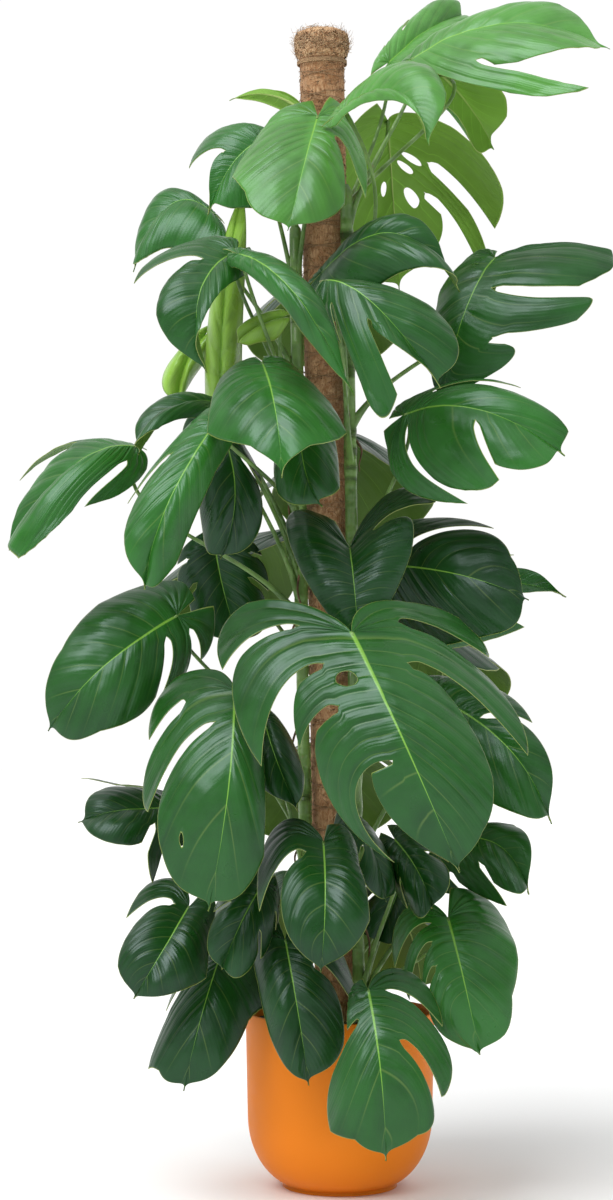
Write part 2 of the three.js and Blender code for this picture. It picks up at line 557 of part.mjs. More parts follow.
function stemPlace(stem, height) {
  const angle = THREE.MathUtils.degToRad(STEM_ANGLES[stem]);
  const distance = SLEEVE_RADIUS + STEM_RADIUS + STEM_CLEARANCE;
  const poleHeight = Math.max(height, SOIL_TOP);
  return new THREE.Vector3(
    distance * Math.cos(angle) - poleHeight * POLE_LEAN,
    distance * Math.sin(angle),
    height,
  );
}

function makeSoil() {
  const low = POT_FOOT_HEIGHT + POT_WALL + GAP;
  const inset = POT_WALL + GAP;
  const side = POT_RINGS.map((height) => [potRadius(height) - inset - GAP, height + inset]);
  const rim = potRadius(SOIL_TOP) - inset;
  const crown = SOIL_TOP + SOIL_CROWN;
  const profile = [[0, low], ...side, [rim, SOIL_TOP], [rim * 0.6, crown], [0, crown]];
  let soil = toSolid(turned(profile, POT_SIDES));
  const poleHole = rod(SLEEVE_RADIUS + 2 * GAP, POLE_FOOT - GAP, SOIL_TOP + 40, POLE_SIDES);
  soil = soil.subtract(toSolid(leaned(poleHole)));
  for (const stem of Object.keys(STEM_ANGLES)) {
    const place = stemPlace(stem, 0);
    const hole = rod(STEM_RADIUS + 4 * GAP, STEM_FOOT - GAP, SOIL_TOP + 40, 16);
    soil = soil.subtract(toSolid(hole.translate(place.x, place.y, 0)));
  }
  return makeMesh('soil', fromSolid(soil), 0x2e2018, 0.95);
}

function makeStake() {
  const stake = rod(STAKE_RADIUS, POLE_FOOT, POLE_TOP - CAP_HEIGHT, 12);
  return makeMesh('pole_stake', merged(leaned(stake)), 0x9a7648, 0.8);
}

// Coir wrapped round the stake and folded over at the top into a thicker cap
function makeSleeve() {
  const neck = POLE_TOP - CAP_HEIGHT;
  const profile = [
    [SLEEVE_BORE, POLE_FOOT], [SLEEVE_RADIUS, POLE_FOOT], [SLEEVE_RADIUS, neck - 6],
    [CAP_RADIUS - 2, neck + 4], [CAP_RADIUS, neck + 14], [CAP_RADIUS - 1, POLE_TOP - 8],
    [CAP_RADIUS - 8, POLE_TOP], [0, POLE_TOP - 3], [0, neck + GAP], [SLEEVE_BORE, neck + GAP],
    [SLEEVE_BORE, POLE_FOOT],
  ];
  return makeMesh('pole_coir', merged(leaned(turned(profile, POLE_SIDES))), 0x9c6a42, 0.95);
}

// Turns of twine that hold the folded coir at the neck
function makeTwine() {
  const low = POLE_TOP - CAP_HEIGHT - 8 - TWINE_TURNS * TWINE_THICKNESS;
  const bore = SLEEVE_RADIUS + 2 * GAP;
  const profile = [[bore, low]];
  for (let turn = 0; turn < TWINE_TURNS; turn += 1) {
    profile.push([bore + TWINE_THICKNESS, low + (turn + 0.5) * TWINE_THICKNESS]);
    profile.push([bore + TWINE_THICKNESS * 0.4, low + (turn + 1) * TWINE_THICKNESS]);
  }
  profile.push([bore, low + TWINE_TURNS * TWINE_THICKNESS], [bore, low]);
  return makeMesh('pole_twine', merged(leaned(turned(profile, POLE_SIDES))), 0xb48a5c, 0.9);
}

// A point of half a blade in the flat. phi runs along the margin from the notch (0) to the tip (1), and
// t runs out along a side vein from the midrib (0) to the margin (1).
function veinRoot(phi) {
  return Math.max(0, (phi - 0.25) / 0.75) ** 1.5;
}

function veinPoint(startPhi, t, root) {
  const phi = Math.min(startPhi, 1);
  const drawn = TIP_DRAWN * phi ** 4 * (1 - phi ** 12);
  const edgeAlong = 0.39 - 0.61 * Math.cos(Math.PI * phi) - drawn;
  const edgeAcross = Math.max(Math.sin(Math.PI * phi ** 0.72), 0) ** (0.75 + 1.05 * phi ** 8);
  const bow = VEIN_BOW * Math.sin(Math.PI * Math.min(t, 1)) * edgeAcross;
  return { along: root + (edgeAlong - root) * t - bow, across: edgeAcross * t };
}

// The midrib passes through the base, the middle and the tip, and runs on straight behind the base
function ribPoint([base, middle, tip], along) {
  const s = Math.max(along, 0);
  const point = base.clone().multiplyScalar((1 - s) * (1 - 2 * s));
  point.addScaledVector(middle, 4 * s * (1 - s)).addScaledVector(tip, s * (2 * s - 1));
  return along < 0 ? point.addScaledVector(ribDirection([base, middle, tip], 0), along) : point;
}

function ribDirection([base, middle, tip], along) {
  const s = Math.max(along, 0);
  const direction = base.clone().multiplyScalar(4 * s - 3);
  return direction.addScaledVector(middle, 4 - 8 * s).addScaledVector(tip, 4 * s - 1);
}

// The shape that a leaf's five points give: its midrib, a side vector for each half, and its normals
function leafFrame(leaf) {
  const [base, middle, tip, left, right] = leaf.points.map(seen);
  const rib = [base, middle, tip];
  const widest = ribPoint(rib, WIDEST);
  const sides = { left: left.clone().sub(widest), right: right.clone().sub(widest) };
  const span = left.clone().sub(right);
  const normalAt = (along) => span.clone().cross(ribDirection(rib, along)).normalize();
  return { rib, sides, normalAt };
}

// A half's lobes in full. Where two of them aren't parted by a slit, they reach and lean alike. Where
// they are, they lean alike up to the slit's inner end.
function lobeList(lobes) {
  return lobes.map(([end, slit, from, to = from, gap = 1, mouth = 0.6, sweep = 0], index) => {
    const before = index ? lobes[index - 1] : [NOTCH, 1, from, from, 1, 1];
    const joined = index > 0 && before[1] >= 1;
    return {
      start: before[0],
      end,
      before: { slit: before[1], gap: before[4] ?? 1, mouth: before[5] ?? 0.6 },
      after: { slit, gap, mouth },
      from: joined ? before[3] ?? before[2] : from,
      to,
      sweepIn: index ? before[6] ?? 0 : sweep,
      sweepFrom: joined ? before[6] ?? 0 : sweep,
      sweepTo: sweep,
      last: index === lobes.length - 1,
    };
  });
}

// Half of a slit's width along the margin, at t out from the midrib
function slitHalf(t, { slit, gap, mouth }) {
  if (t <= slit) {
    return 0;
  }
  const u = (t - slit) / (1 - slit);
  return 0.5 * SLIT_WIDTH * gap * Math.min(1, Math.sqrt(8 * u)) * (1 - (1 - mouth) * u);
}

// Levels along a vein line, with one of them moved to where the slit beside the line starts
function levelsFor(slit) {
  if (slit >= 1) {
    return LEVELS;
  }
  if (slit < 0.53) {
    return [0, slit, slit + (1 - slit) * 0.3, 1];
  }
  return [0, slit * 0.5, slit, 1];
}

// A point of a lobe: across is 0 at its side towards the notch and 1 at its side towards the tip
function lobePoint(frame, side, lobe, twin, across, level) {
  const edge = across === 0 ? lobe.before : across === 1 ? lobe.after : null;
  const nearLevel = levelsFor(lobe.before.slit)[level];
  const farLevel = levelsFor(lobe.after.slit)[level];
  const t = edge ? levelsFor(edge.slit)[level] : nearLevel + (farLevel - nearLevel) * across;
  const gap = edge ? slitHalf(t, edge) * (across === 0 ? 1 : -1) : 0;
  const ownPhi = lobe.start + (lobe.end - lobe.start) * across;
  const twinPhi = twin.start + (twin.end - twin.start) * across;
  let root = 0.5 * (veinRoot(ownPhi) + veinRoot(twinPhi));
  root = root < 0.03 ? 0 : root;
  const [slitBefore, slitAfter] = [lobe.before.slit % 1, lobe.after.slit % 1];
  const free = slitBefore + (slitAfter - slitBefore) * across;
  const corner = 1 - 0.1 * (slitBefore > 0) * (1 - across) ** 3 - 0.03 * (slitAfter > 0) * across ** 3;
  const reach = (lobe.from + (lobe.to - lobe.from) * across) * corner;
  const out = t <= free ? t : free + ((t - free) * (reach - free)) / (1 - free);
  const sweepIn = lobe.sweepIn + (lobe.sweepTo - lobe.sweepIn) * across;
  const sweepOut = lobe.sweepFrom + (lobe.sweepTo - lobe.sweepFrom) * across;
  const inner = Math.min(out, free) ** 2;
  const swept = sweepIn * inner + sweepOut * (out * out - inner);
  const flat = veinPoint(ownPhi + gap + swept, out, root);
  const point = ribPoint(frame.rib, flat.along).addScaledVector(frame.sides[side], flat.across);
  const share = Math.min(Math.abs(flat.across), 1);
  const u = t <= free ? 0 : (t - free) / (1 - free);
  const lobeLift = lobe.lift * u * u * 4 * across * (1 - across);
  const lift = CROWN * 4 * share * (1 - share) - CURL * t ** 3 * share + lobeLift;
  return point.addScaledVector(frame.normalAt(flat.along), lift);
}

// The middle surface of a blade, lobe by lobe, as mapped plane patches that share their edges
function bladeSurface(leaf) {
  const frame = leafFrame(leaf);
  const halves = { left: lobeList(leaf.left), right: lobeList(leaf.right) };
  const patches = [];
  for (const side of ['left', 'right']) {
    const twinSide = side === 'left' ? 'right' : 'left';
    halves[side].forEach((lobe, index) => {
      lobe.lift = LOBE_LIFT * Math.sin(2.4 * index + leaf.name.length + (side === 'left' ? 0 : 1.3));
      const patch = new THREE.PlaneGeometry(1, 1, lobe.last ? 3 : 2, LEVELS.length - 1);
      const position = patch.attributes.position;
      for (let i = 0; i < position.count; i += 1) {
        const across = position.getX(i) + 0.5;
        const level = Math.round((position.getY(i) + 0.5) * (LEVELS.length - 1));
        const point = lobePoint(frame, side, lobe, halves[twinSide][index], across, level);
        position.setXYZ(i, point.x, point.y, point.z);
      }
      if (side === 'right') {
        patch.index.array.reverse();
      }
      patches.push(patch);
    });
  }
  return merged(mergeGeometries(patches));
}

// A closed blade of even thickness round a middle surface, split into triangles alike on both faces
function thicken(surface, thickness) {
  const source = surface.index.array;
  const triangles = [];
  for (let i = 0; i < source.length; i += 3) {
    const [a, b, c] = [source[i], source[i + 1], source[i + 2]];
    if (a !== b && b !== c && c !== a) {
      triangles.push([a, b, c]);
    }
  }
  surface.setIndex(triangles.flat());
  surface.computeVertexNormals();
  const position = surface.attributes.position;
  const normal = surface.attributes.normal;
  const count = position.count;
  const corners = new Float32Array(count * 6);
  for (let i = 0; i < count; i += 1) {
    const point = new THREE.Vector3().fromBufferAttribute(position, i);
    const out = new THREE.Vector3().fromBufferAttribute(normal, i);
    point.clone().addScaledVector(out, thickness / 2).toArray(corners, i * 3);
    point.clone().addScaledVector(out, -thickness / 2).toArray(corners, (count + i) * 3);
  }
  const edges = new Set();
  for (const [a, b, c] of triangles) {
    [[a, b], [b, c], [c, a]].forEach(([from, to]) => edges.add(`${from}:${to}`));
  }
  const faces = [];
  for (const [a, b, c] of triangles) {
    faces.push(a, b, c, count + a, count + c, count + b);
  }
  for (const edge of edges) {
    const [from, to] = edge.split(':').map(Number);
    if (!edges.has(`${to}:${from}`)) {
      faces.push(to, from, count + from, to, count + from, count + to);
    }
  }
  const geometry = new THREE.BufferGeometry();
  geometry.setAttribute('position', new THREE.BufferAttribute(corners, 3));
  geometry.setIndex(faces);
  return geometry;
}

function makeBlade(leaf) {
  return makeMesh(leaf.name, thicken(bladeSurface(leaf), BLADE_THICKNESS), leaf.color, 0.4);
}

// A leaf stalk rises from the stem, arches outwards and ends just behind its blade
function stalkCurve(leaf) {
  const { rib, normalAt } = leafFrame(leaf);
  const normal = normalAt(0);
  const end = rib[0].clone().addScaledVector(normal, -STALK_TO_BLADE);
  const rise = leaf.rise ?? STALK_RISE;
  const low = Math.max(SOIL_TOP + 22, end.z - rise);
  const start = stemPlace(leaf.stem, Math.min(low, STEM_TOPS[leaf.stem] - 20));
  const lift = 0.45 * (end.z - start.z);
  const away = end.clone().sub(start).setZ(0).multiplyScalar(0.25);
  const first = start.clone().add(away).addScaledVector(UP, lift);
  const bend = leaf.bend ?? STALK_BEND;
  const last = end.clone().addScaledVector(normal, -bend).addScaledVector(UP, -0.5 * bend);
  return new THREE.CubicBezierCurve3(start, first, last, end);
}

function stemCurve(stem) {
  const points = [];
  const count = 6;
  for (let i = 0; i <= count; i += 1) {
    points.push(stemPlace(stem, STEM_FOOT + ((STEM_TOPS[stem] - STEM_FOOT) * i) / count));
  }
  return new THREE.CatmullRomCurve3(points);
}

function makeStem(stem) {
  let solid = toSolid(tube(stemCurve(stem), STEM_RADIUS, STEM_SIDES, STEM_STEPS));
  for (const leaf of LEAVES.filter((each) => each.stem === stem)) {
    solid = solid.add(toSolid(tube(stalkCurve(leaf), STALK_RADIUS, STALK_SIDES, STALK_STEPS)));
  }
  return makeMesh(`stem_${stem}`, fromSolid(solid), 0x6f9a48, 0.5);
}

const plant = new THREE.Group();
plant.add(makePot(), makeSoil(), makeStake(), makeSleeve(), makeTwine());
Object.keys(STEM_ANGLES).forEach((stem) => plant.add(makeStem(stem)));
LEAVES.forEach((leaf) => plant.add(makeBlade(leaf)));

export default plant;
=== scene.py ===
"""Dresses the potted swiss cheese plant: leaves, vines, coir pole, twine, roots, soil, pot and stage."""
import math
import random

import bmesh
import bpy
from bpy.props import FloatProperty, FloatVectorProperty, IntProperty, PointerProperty
from mathutils import Matrix, Vector, noise


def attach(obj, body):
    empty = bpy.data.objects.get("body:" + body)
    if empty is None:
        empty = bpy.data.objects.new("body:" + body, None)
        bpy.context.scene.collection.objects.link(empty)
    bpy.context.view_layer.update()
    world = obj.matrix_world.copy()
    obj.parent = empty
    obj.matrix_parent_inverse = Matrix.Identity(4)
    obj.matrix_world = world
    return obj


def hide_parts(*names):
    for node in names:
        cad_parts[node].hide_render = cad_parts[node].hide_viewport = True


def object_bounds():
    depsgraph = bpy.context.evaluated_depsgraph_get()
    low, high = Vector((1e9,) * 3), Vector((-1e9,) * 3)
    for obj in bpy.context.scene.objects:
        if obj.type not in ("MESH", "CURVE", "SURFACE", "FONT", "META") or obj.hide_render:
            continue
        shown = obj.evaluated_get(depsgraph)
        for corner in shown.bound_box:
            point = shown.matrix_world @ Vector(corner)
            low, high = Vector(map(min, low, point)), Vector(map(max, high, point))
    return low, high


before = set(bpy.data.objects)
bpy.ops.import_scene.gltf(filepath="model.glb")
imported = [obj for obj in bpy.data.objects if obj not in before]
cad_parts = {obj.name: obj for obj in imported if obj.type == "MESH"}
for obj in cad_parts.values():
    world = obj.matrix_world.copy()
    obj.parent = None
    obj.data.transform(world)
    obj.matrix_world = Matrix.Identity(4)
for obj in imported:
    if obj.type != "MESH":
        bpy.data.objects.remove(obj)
SOLID_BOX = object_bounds()

bl_info = {
    "name": "Potted Swiss Cheese Plant",
    "version": (1, 0, 0),
    "blender": (4, 5, 0),
    "location": "3D View > Sidebar > Plant",
    "description": "Models a climbing swiss cheese plant on a coir pole in a plastic pot",
    "category": "Add Mesh",
}

MM = 0.001
FULL_TURN = 2 * math.pi
SIDES = ("left", "right")

# Sizes and places of pot, pole, stems and stalks in millimetres and degrees, like those of the solids
SOIL_TOP = 218
POLE_TOP = 1555
POLE_FOOT = 24
POLE_LEAN = 25 / POLE_TOP
SLEEVE_RADIUS = 31
CAP_RADIUS = 37.5
CAP_HEIGHT = 36
NECK = POLE_TOP - CAP_HEIGHT
NECK_SPACE = 8
TWINE_THICKNESS = 2.4
TWINE_TURNS = 3
THREAD_RADIUS = 0.5
THREAD_TURNS = 44
STEM_ANGLES = {"left": 205, "right": 312, "back": 92}
STEM_TOPS = {"left": 1290, "right": 1340, "back": 1330}
STEM_RADIUS = 9.5
STEM_FOOT = 110
STEM_CLEARANCE = 3
STALK_RISE = 230
STALK_BEND = 40
LOWEST_JOINT = SOIL_TOP + 22
JOINT_BELOW_TOP = 20
JOINT_HEIGHT = 7
ROOT_LENGTHS = (40, 120)
ROOT_RADII = (0.45, 1.9)
LOWEST_ROOT = 300
ROOTS_BELOW_TOP = 80

# Coir strands: lengths and how far they stand off the sleeve and the cap, in millimetres, and shares
STRAND_LENGTHS = (9, 30)
FLAT_STAND = (0.2, 0.9)
LOOSE_STAND = (1.0, 4.2)
CAP_STAND = (1.0, 9.0)
LOOSE_SHARE = 0.22
CROSSING_SHARE = 0.25
CAP_TOP_SHARE = 0.86
STRAND_TAPER = (1, 1, 0.9, 0.75, 0.35)
LOWEST_STRAND = SOIL_TOP + 4

# Potting mix
CRUMBS = 420
CRUMB_SIZES = (1.2, 5.5)
SOIL_CROWN = 5
SOIL_REACH = 118

# Where each run of random draws starts
ROOT_SEED = 11
COIR_SEED = 5
SOIL_SEED = 3

# Numbers of parts and of mesh cells
STEM_STEPS = 150
STALK_STEPS = 26
ROOTS = 9
ROOT_STEPS = 14
POLE_SEGMENTS = 64
TWINE_STEPS = 64
THREAD_STEPS = 26
SOIL_SEGMENTS = 96
REAR_CELLS = 1.35
MOST_COLUMNS = 60

# Leaf blades: shares of their length and width, and heights in millimetres
HEART_MIDDLE = 0.39
HEART_HALF = 0.61
VEIN_BOW = 0.035
NOTCH = 0.006
SLIT_WIDTH = 0.055
WIDEST = 0.22
TIP_DRAWN = 0.085
CROWN = 10
CURL = 12
LOBE_LIFT = 5
BOX_SOFT = 12

# Relief of a blade: millimetres, and the lengths of blade at which it is as set
PLEAT_LENGTH = 260
RIB_HALF = 3.1
RIB_LENGTH = 300
RIB_LEVELS = (1.1, 2.4, 4.5)
VEIN_SPACING = 20
FINE_VEINS = 5.0
FOLD_SEEDS = {"left": 7, "right": 31}
WAVES = ((1.9, 0.021), (0.7, 0.055))
RIPPLE = 0.9
RIPPLE_START = 0.7

# Camera and lights: pixels of the photograph, and metres
FOCAL_PIXELS = 2790
PHOTO_HEIGHT = 1200
FLOOR_HALF = 9
KEY_PLACE = (-1.5, -1.7, 4.4)
KEY_TARGET = (0, 0, 0.8)

# The eye point that the leaf points are seen from: each is (x, z, y), with x and z read in the upright
# plane through the pole, and y the true depth
EYE = Vector((-45, -3750, 786))

# Lobes of a half blade, from the notch to the tip: (end, from, to, sweep, slit, gap, mouth).
# end: where it ends along the margin (0 at the notch, 1 at the tip).
# from, to: how far out its two sides reach, as a share of the heart shape. A lobe that no slit parts from
# the one before starts where that one ends. With one number, both are alike.
# sweep: how far along the margin the lobe leans towards the tip as it runs out.
# slit: where the slit at that end starts between the midrib (0) and the margin (1, no slit).
# gap: how wide the slit is beside the usual. mouth: what share of that is open at the margin.
WHOLE = [(0.3, 1), (0.62, 1), (1, 1)]
NOTCHED = [(0.28, 1, 1, 0, 0.7), (0.5, 1, 1, 0, 0.6), (1, 1)]
FEW = [(0.22, 1, 1, 0, 0.6), (0.42, 1, 1, 0, 0.45), (1, 1)]


def leaf(name, stem, tone, left, right, points, rise=STALK_RISE, bend=STALK_BEND):
    """One leaf: the lobes of its two halves, then the base, middle and tip of its midrib and its two widest
    points. Its stalk leaves the stem by rise below the blade, and turns over within bend of it."""
    return {"name": name, "stem": stem, "tone": tone, "left": left, "right": right, "points": points,
            "rise": rise, "bend": bend}


LEAVES = [
    leaf("crown_right", "right", "fresh",
         [(0.3, 0.3, 0.4, 0, 0.24), (0.42, 1.1, 1.2, 0.07, 0.5, 0.8), (0.7, 0.72, 0.82, 0.08), (1, 0.9)],
         [(0.3, 0.5), (0.42, 0.54), (0.7, 0.78), (1, 0.75)],
         [(94, 1512, -26), (225, 1561, -39), (363, 1526, -46), (262, 1478, -136), (205, 1589, 54)]),
    leaf("crown_back", "back", "fresh", FEW, FEW,
         [(66, 1508, 100), (120, 1554, 180), (165, 1570, 250), (134, 1518, 120),
          (98, 1578, 210)], rise=320, bend=80),
    leaf("crown_middle", "right", "fresh",
         [(0.3, 0.5), (0.5, 0.75), (0.74, 0.95), (1, 0.9)],
         [(0.3, 0.92), (0.5, 0.9), (0.74, 1.2), (1, 1)],
         [(4, 1444, -136), (75, 1470, -209), (120, 1397, -256), (47, 1447, -226),
          (87, 1515, -146)], rise=320, bend=120),
    leaf("crown_left", "left", "fresh",
         [(0.2, 0.72, 0.66), (0.48, 0.84), (0.63, 0.74), (1, 0.85)],
         [(0.2, 0.93, 0.98), (0.38, 0.98, 1.33, 0.05, 0.47), (0.56, 0.6, 1.02), (1, 0.86)],
         [(-30, 1437, -70), (-50, 1364, -150), (-70, 1282, -190), (-165, 1360, -120), (22, 1364, -120)]),
    leaf("crown_left_behind", "left", "middle",
         [(0.3, 1), (0.62, 1, 1.04, 0.07, 0.3, 1.5, 0.5), (1, 0.45, 0.5, 0.03)],
         [(0.3, 1), (0.62, 0.8), (1, 0.5)],
         [(-105, 1405, -20), (-145, 1371, -30), (-177, 1304, -40), (-184, 1416, 20), (-121, 1310, -60)]),
    leaf("crown_far_left", "back", "fresh",
         [(0.3, 0.5), (0.62, 0.6), (1, 0.8)],
         [(0.3, 0.35), (0.62, 0.4), (1, 0.6)],
         [(-50, 1442, 60), (-97, 1465, 95), (-148, 1457, 130), (-86, 1437, 80), (-74, 1490, 105)]),
    leaf("crown_turned", "back", "fresh",
         [(0.5, 1, 1.04, 0.07, 0.38, 2, 0.5), (0.63, 0.945, 1.3, 0.07, 0.4, 1.5, 0.5),
          (1, 0.72, 0.8, 0.03)],
         [(0.5, 1), (0.63, 1), (1, 1)],
         [(64, 1431, 162), (70, 1340, 232), (80, 1200, 222), (215, 1330, 232), (-13, 1330, 192)]),
    leaf("crown_far_right", "back", "fresh",
         [(0.3, 1), (0.6, 0.9), (1, 0.4)],
         WHOLE,
         [(133, 1493, 34), (172, 1451, 47), (207, 1391, 24), (215, 1461, 84), (140, 1436, 14)], bend=120),
    leaf("young_spear", "left", "young", WHOLE, WHOLE,
         [(-159, 1055, -30), (-155, 1196, -40), (-128, 1348, -30), (-132, 1100, -20),
          (-182, 1100, -20)], bend=80),
    leaf("young_flap", "left", "young", WHOLE, WHOLE,
         [(-181, 1142, 10), (-208, 1102, 0), (-218, 1051, 0), (-229, 1112, 5), (-184, 1106, 5)], bend=80),
    leaf("young_small", "left", "young", WHOLE, WHOLE,
         [(-77, 1165, -100), (-105, 1156, -110), (-138, 1132, -115), (-105, 1173, -90),
          (-101, 1138, -120)]),
    leaf("upper_left", "left", "deep",
         [(0.47, 0.7, 0.988, 0.07, 0.2, 1.5, 0.5), (0.7, 0.405, 0.75, 0.03), (1, 0.9)],
         [(0.47, 0.5), (0.7, 0.55), (1, 0.5)],
         [(-141, 1254, -120), (-190, 1193, -190), (-179, 1091, -200), (-273, 1240, -130),
          (-150, 1158, -230)]),
    leaf("upper_hanging", "left", "middle",
         [(0.3, 0.4, 0.5), (0.62, 0.9), (1, 1)],
         [(0.3, 0.9), (0.62, 0.75), (1, 0.6)],
         [(-135, 1250, -188), (-60, 1196, -268), (20, 1060, -288), (-105, 1189, -238),
          (-54, 1230, -198)], bend=80),
    leaf("upper_far_left", "left", "middle",
         [(0.3, 0.5), (0.62, 0.6), (1, 1)],
         [(0.3, 0.4, 0.8), (0.62, 1), (1, 1)],
         [(-168, 1304, 0), (-228, 1317, 20), (-278, 1227, 0), (-235, 1340, 80), (-215, 1257, -40)]),
    leaf("upper_arched", "right", "deep", WHOLE,
         [(0.3, 0.85, 0.75), (0.62, 0.65), (1, 0.6)],
         [(-24, 1227, -82), (75, 1278, -149), (161, 1200, -152), (54, 1220, -182), (65, 1305, -102)]),
    leaf("upper_right", "right", "deep",
         [(0.38, 0.5, 0.7, 0.04, 0.3), (0.62, 1.38, 1, 0.04, 0.35, 1.2), (1, 0.5, 0.55)],
         [(0.4, 0.8), (0.62, 0.94), (1, 1)],
         [(-20, 1216, -194), (47, 1183, -247), (136, 1071, -254), (20, 1085, -274), (121, 1190, -204)]),
    leaf("upper_far_right", "right", "deep",
         [(0.2, 0.5, 1), (0.6, 0.7), (0.74, 0.6), (0.87, 0.85), (1, 0.9)],
         [(0.16, 0.3, 1.1), (0.62, 1.1, 0.87, -0.15, 0.2, 1.5, 0.8),
          (0.8, 1.05, 1.08, -0.16, 0.55, 1.2, 0.7), (0.92, 0.84, 0.9, -0.16), (1, 0.88)],
         [(208, 1246, 0), (169, 1176, -50), (134, 1042, -60), (120, 1200, 30), (360, 1227, -60)], bend=80),
    leaf("middle_right", "right", "middle",
         [(0.1, 0.65, 0.8), (0.25, 0.8, 1.08, 0.17, 0.17, 1.4, 0.4), (0.36, 0.93, 0.95, 0.15),
          (0.56, 0.95, 0.9, 0.03, 0.2, 1.5, 0.15), (1, 0.86, 0.91, 0.05)],
         [(0.1, 0.5, 0.8), (0.42, 0.8, 1.1, 0.15, 0.45, 1.8, 0.3), (0.55, 0.88, 1, 0.17), (0.82, 1.15),
          (1, 1)],
         [(86, 1035, -98), (188, 1042, -148), (302, 979, -158), (160, 927, -178), (175, 1087, -88)]),
    leaf("middle_bright", "left", "middle",
         [(0.3, 0.35, 0.6), (0.5, 1), (0.75, 0.7), (1, 0.6)],
         [(0.3, 0.4, 0.62), (0.5, 1), (0.75, 0.7), (1, 0.6)],
         [(-105, 1106, -150), (-87, 1042, -250), (-78, 950, -290), (-188, 1039, -200), (7, 1039, -210)]),
    leaf("middle_lobe", "left", "deep",
         [(0.3, 0.5, 0.6), (0.55, 0.8), (1, 1)],
         [(0.3, 0.4, 0.45), (0.55, 0.9), (1, 1)],
         [(-148, 1044, -80), (-215, 1048, -130), (-271, 981, -150), (-215, 1060, -60),
          (-222, 1015, -170)], bend=15),
    leaf("middle_grey", "left", "middle",
         [(0.43, 0.6, 0.936, 0.07, 0.45, 1, 0.5), (0.7, 0.81, 0.75, 0.03), (1, 0.7)],
         [(0.35, 0.6, 0.8), (0.6, 1.15), (1, 1)],
         [(-168, 1022, -198), (-235, 907, -268), (-262, 801, -258), (-285, 934, -218),
          (-181, 921, -238)], rise=110, bend=15),
    leaf("middle_drooping", "left", "middle",
         [(0.3, 0.6, 0.62), (0.55, 0.62, 1.1, 0.07, 0.45, 1, 0.5), (0.75, 0.55, 0.6, 0.08), (1, 0.9)],
         [(0.34, 0.8, 1.03, 0.07, 0.38, 1.5, 0.7), (0.5, 1.25, 1.3, 0.07), (0.78, 1.3, 1, 0.03), (1, 0.85)],
         [(-274, 992, -60), (-356, 968, -100), (-449, 852, -70), (-376, 995, 30),
          (-351, 919, -140)], bend=80),
    leaf("middle_hanging", "left", "dark", FEW, FEW,
         [(-159, 1015, -90), (-141, 927, -120), (-161, 841, -110), (-202, 934, -90), (-105, 941, -110)]),
    leaf("middle_curled", "left", "deep",
         [(0.3, 1), (0.5, 1), (1, 0.7)],
         [(0.3, 1), (0.5, 1), (1, 0.4)],
         [(-54, 1028, -118), (-47, 961, -158), (-24, 911, -168), (-89, 954, -148), (-1, 961, -148)]),
    leaf("middle_inner", "back", "dark", NOTCHED, NOTCHED,
         [(-168, 860, 40), (-156, 797, 40), (-134, 726, 20), (-218, 800, 40), (-94, 813, 50)]),
    leaf("heart_left", "left", "deep",
         [(0.22, 0.55, 0.73), (0.44, 0.87), (0.65, 0.82), (1, 1)],
         [(0.22, 0.95, 0.86, 0, 0.3, 1.2, 0.9), (0.37, 0.84, 0.95, 0.03, 0.21, 1.6, 0.3),
          (0.6, 1, 0.87, 0.03), (1, 0.95)],
         [(-219, 765, -60), (-319, 695, -120), (-392, 610, -110), (-329, 793, -50), (-255, 632, -110)]),
    leaf("lower_left", "left", "deep",
         [(0.28, 1.07, 0.97, 0.07, 0.55, 1.6, 0.5), (0.45, 1.04, 0.98, 0.12, 0.22, 1.3, 0.5),
          (0.6, 0.85, 0.9, 0.1), (1, 1)],
         [(0.28, 0.5, 0.55), (0.45, 0.75), (0.6, 1.02), (1, 1)],
         [(-141, 665, -172), (-150, 531, -262), (-177, 368, -242), (-269, 558, -192),
          (-87, 535, -222)], bend=80),
    leaf("large_middle", "right", "deep",
         [(0.26, 0.9, 0.95, 0.11, 0.35, 1, 0.4), (0.45, 0.92, 1.08, 0.11, 0.3, 1, 0.4),
          (0.53, 0.6, 0.78, 0.12, 0.35, 1, 0.4), (0.68, 0.7, 1.17, 0.13, 0.18, 1.2, 0.3),
          (1, 0.5, 1, 0.04)],
         [(0.18, 1.35, 1.15, 0.06, 0.45, 1.5), (0.4, 1, 0.98, 0.16, 0.3, 1.5, 0.5), (0.62, 0.5, 0.72, 0.1),
          (0.8, 0.72, 0.8, 0.04), (1, 1)],
         [(16, 742, -268), (90, 588, -368), (161, 420, -358), (-157, 655, -268), (245, 634, -278)]),
    leaf("dark_middle", "right", "dark",
         [(0.35, 1.2, 1.05), (0.6, 1), (1, 0.8)],
         [(0.38, 1.3, 1.1, 0.02, 0.3, 1.4), (0.6, 0.8, 0.85, 0.02), (1, 0.8)],
         [(13, 856, -128), (20, 795, -175), (27, 706, -178), (-69, 878, -118), (121, 915, -118)]),
    leaf("dark_right", "right", "dark",
         [(0.27, 1), (0.5, 0.88), (0.64, 0.85), (1, 0.9)],
         [(0.2, 0.35, 0.75), (0.4, 0.75, 1.04, 0.2, 0.12, 1.6, 0.3), (0.6, 0.98, 0.9, 0.2), (1, 1)],
         [(54, 833, -24), (161, 820, -104), (254, 786, -114), (148, 719, -84),
          (141, 905, -34)], rise=320, bend=80),
    leaf("back_right", "back", "middle",
         [(0.3, 1), (0.5, 1, 1.04, 0.07, 0.2, 1, 0.5), (1, 0.378, 0.6, 0.03)],
         [(0.3, 1), (0.5, 1, 0.936, 0.07, 0.2, 1, 0.5), (1, 0.378, 0.6, 0.03)],
         [(121, 786, 60), (220, 810, 100), (304, 790, 90), (200, 740, 60), (200, 850, 140)]),
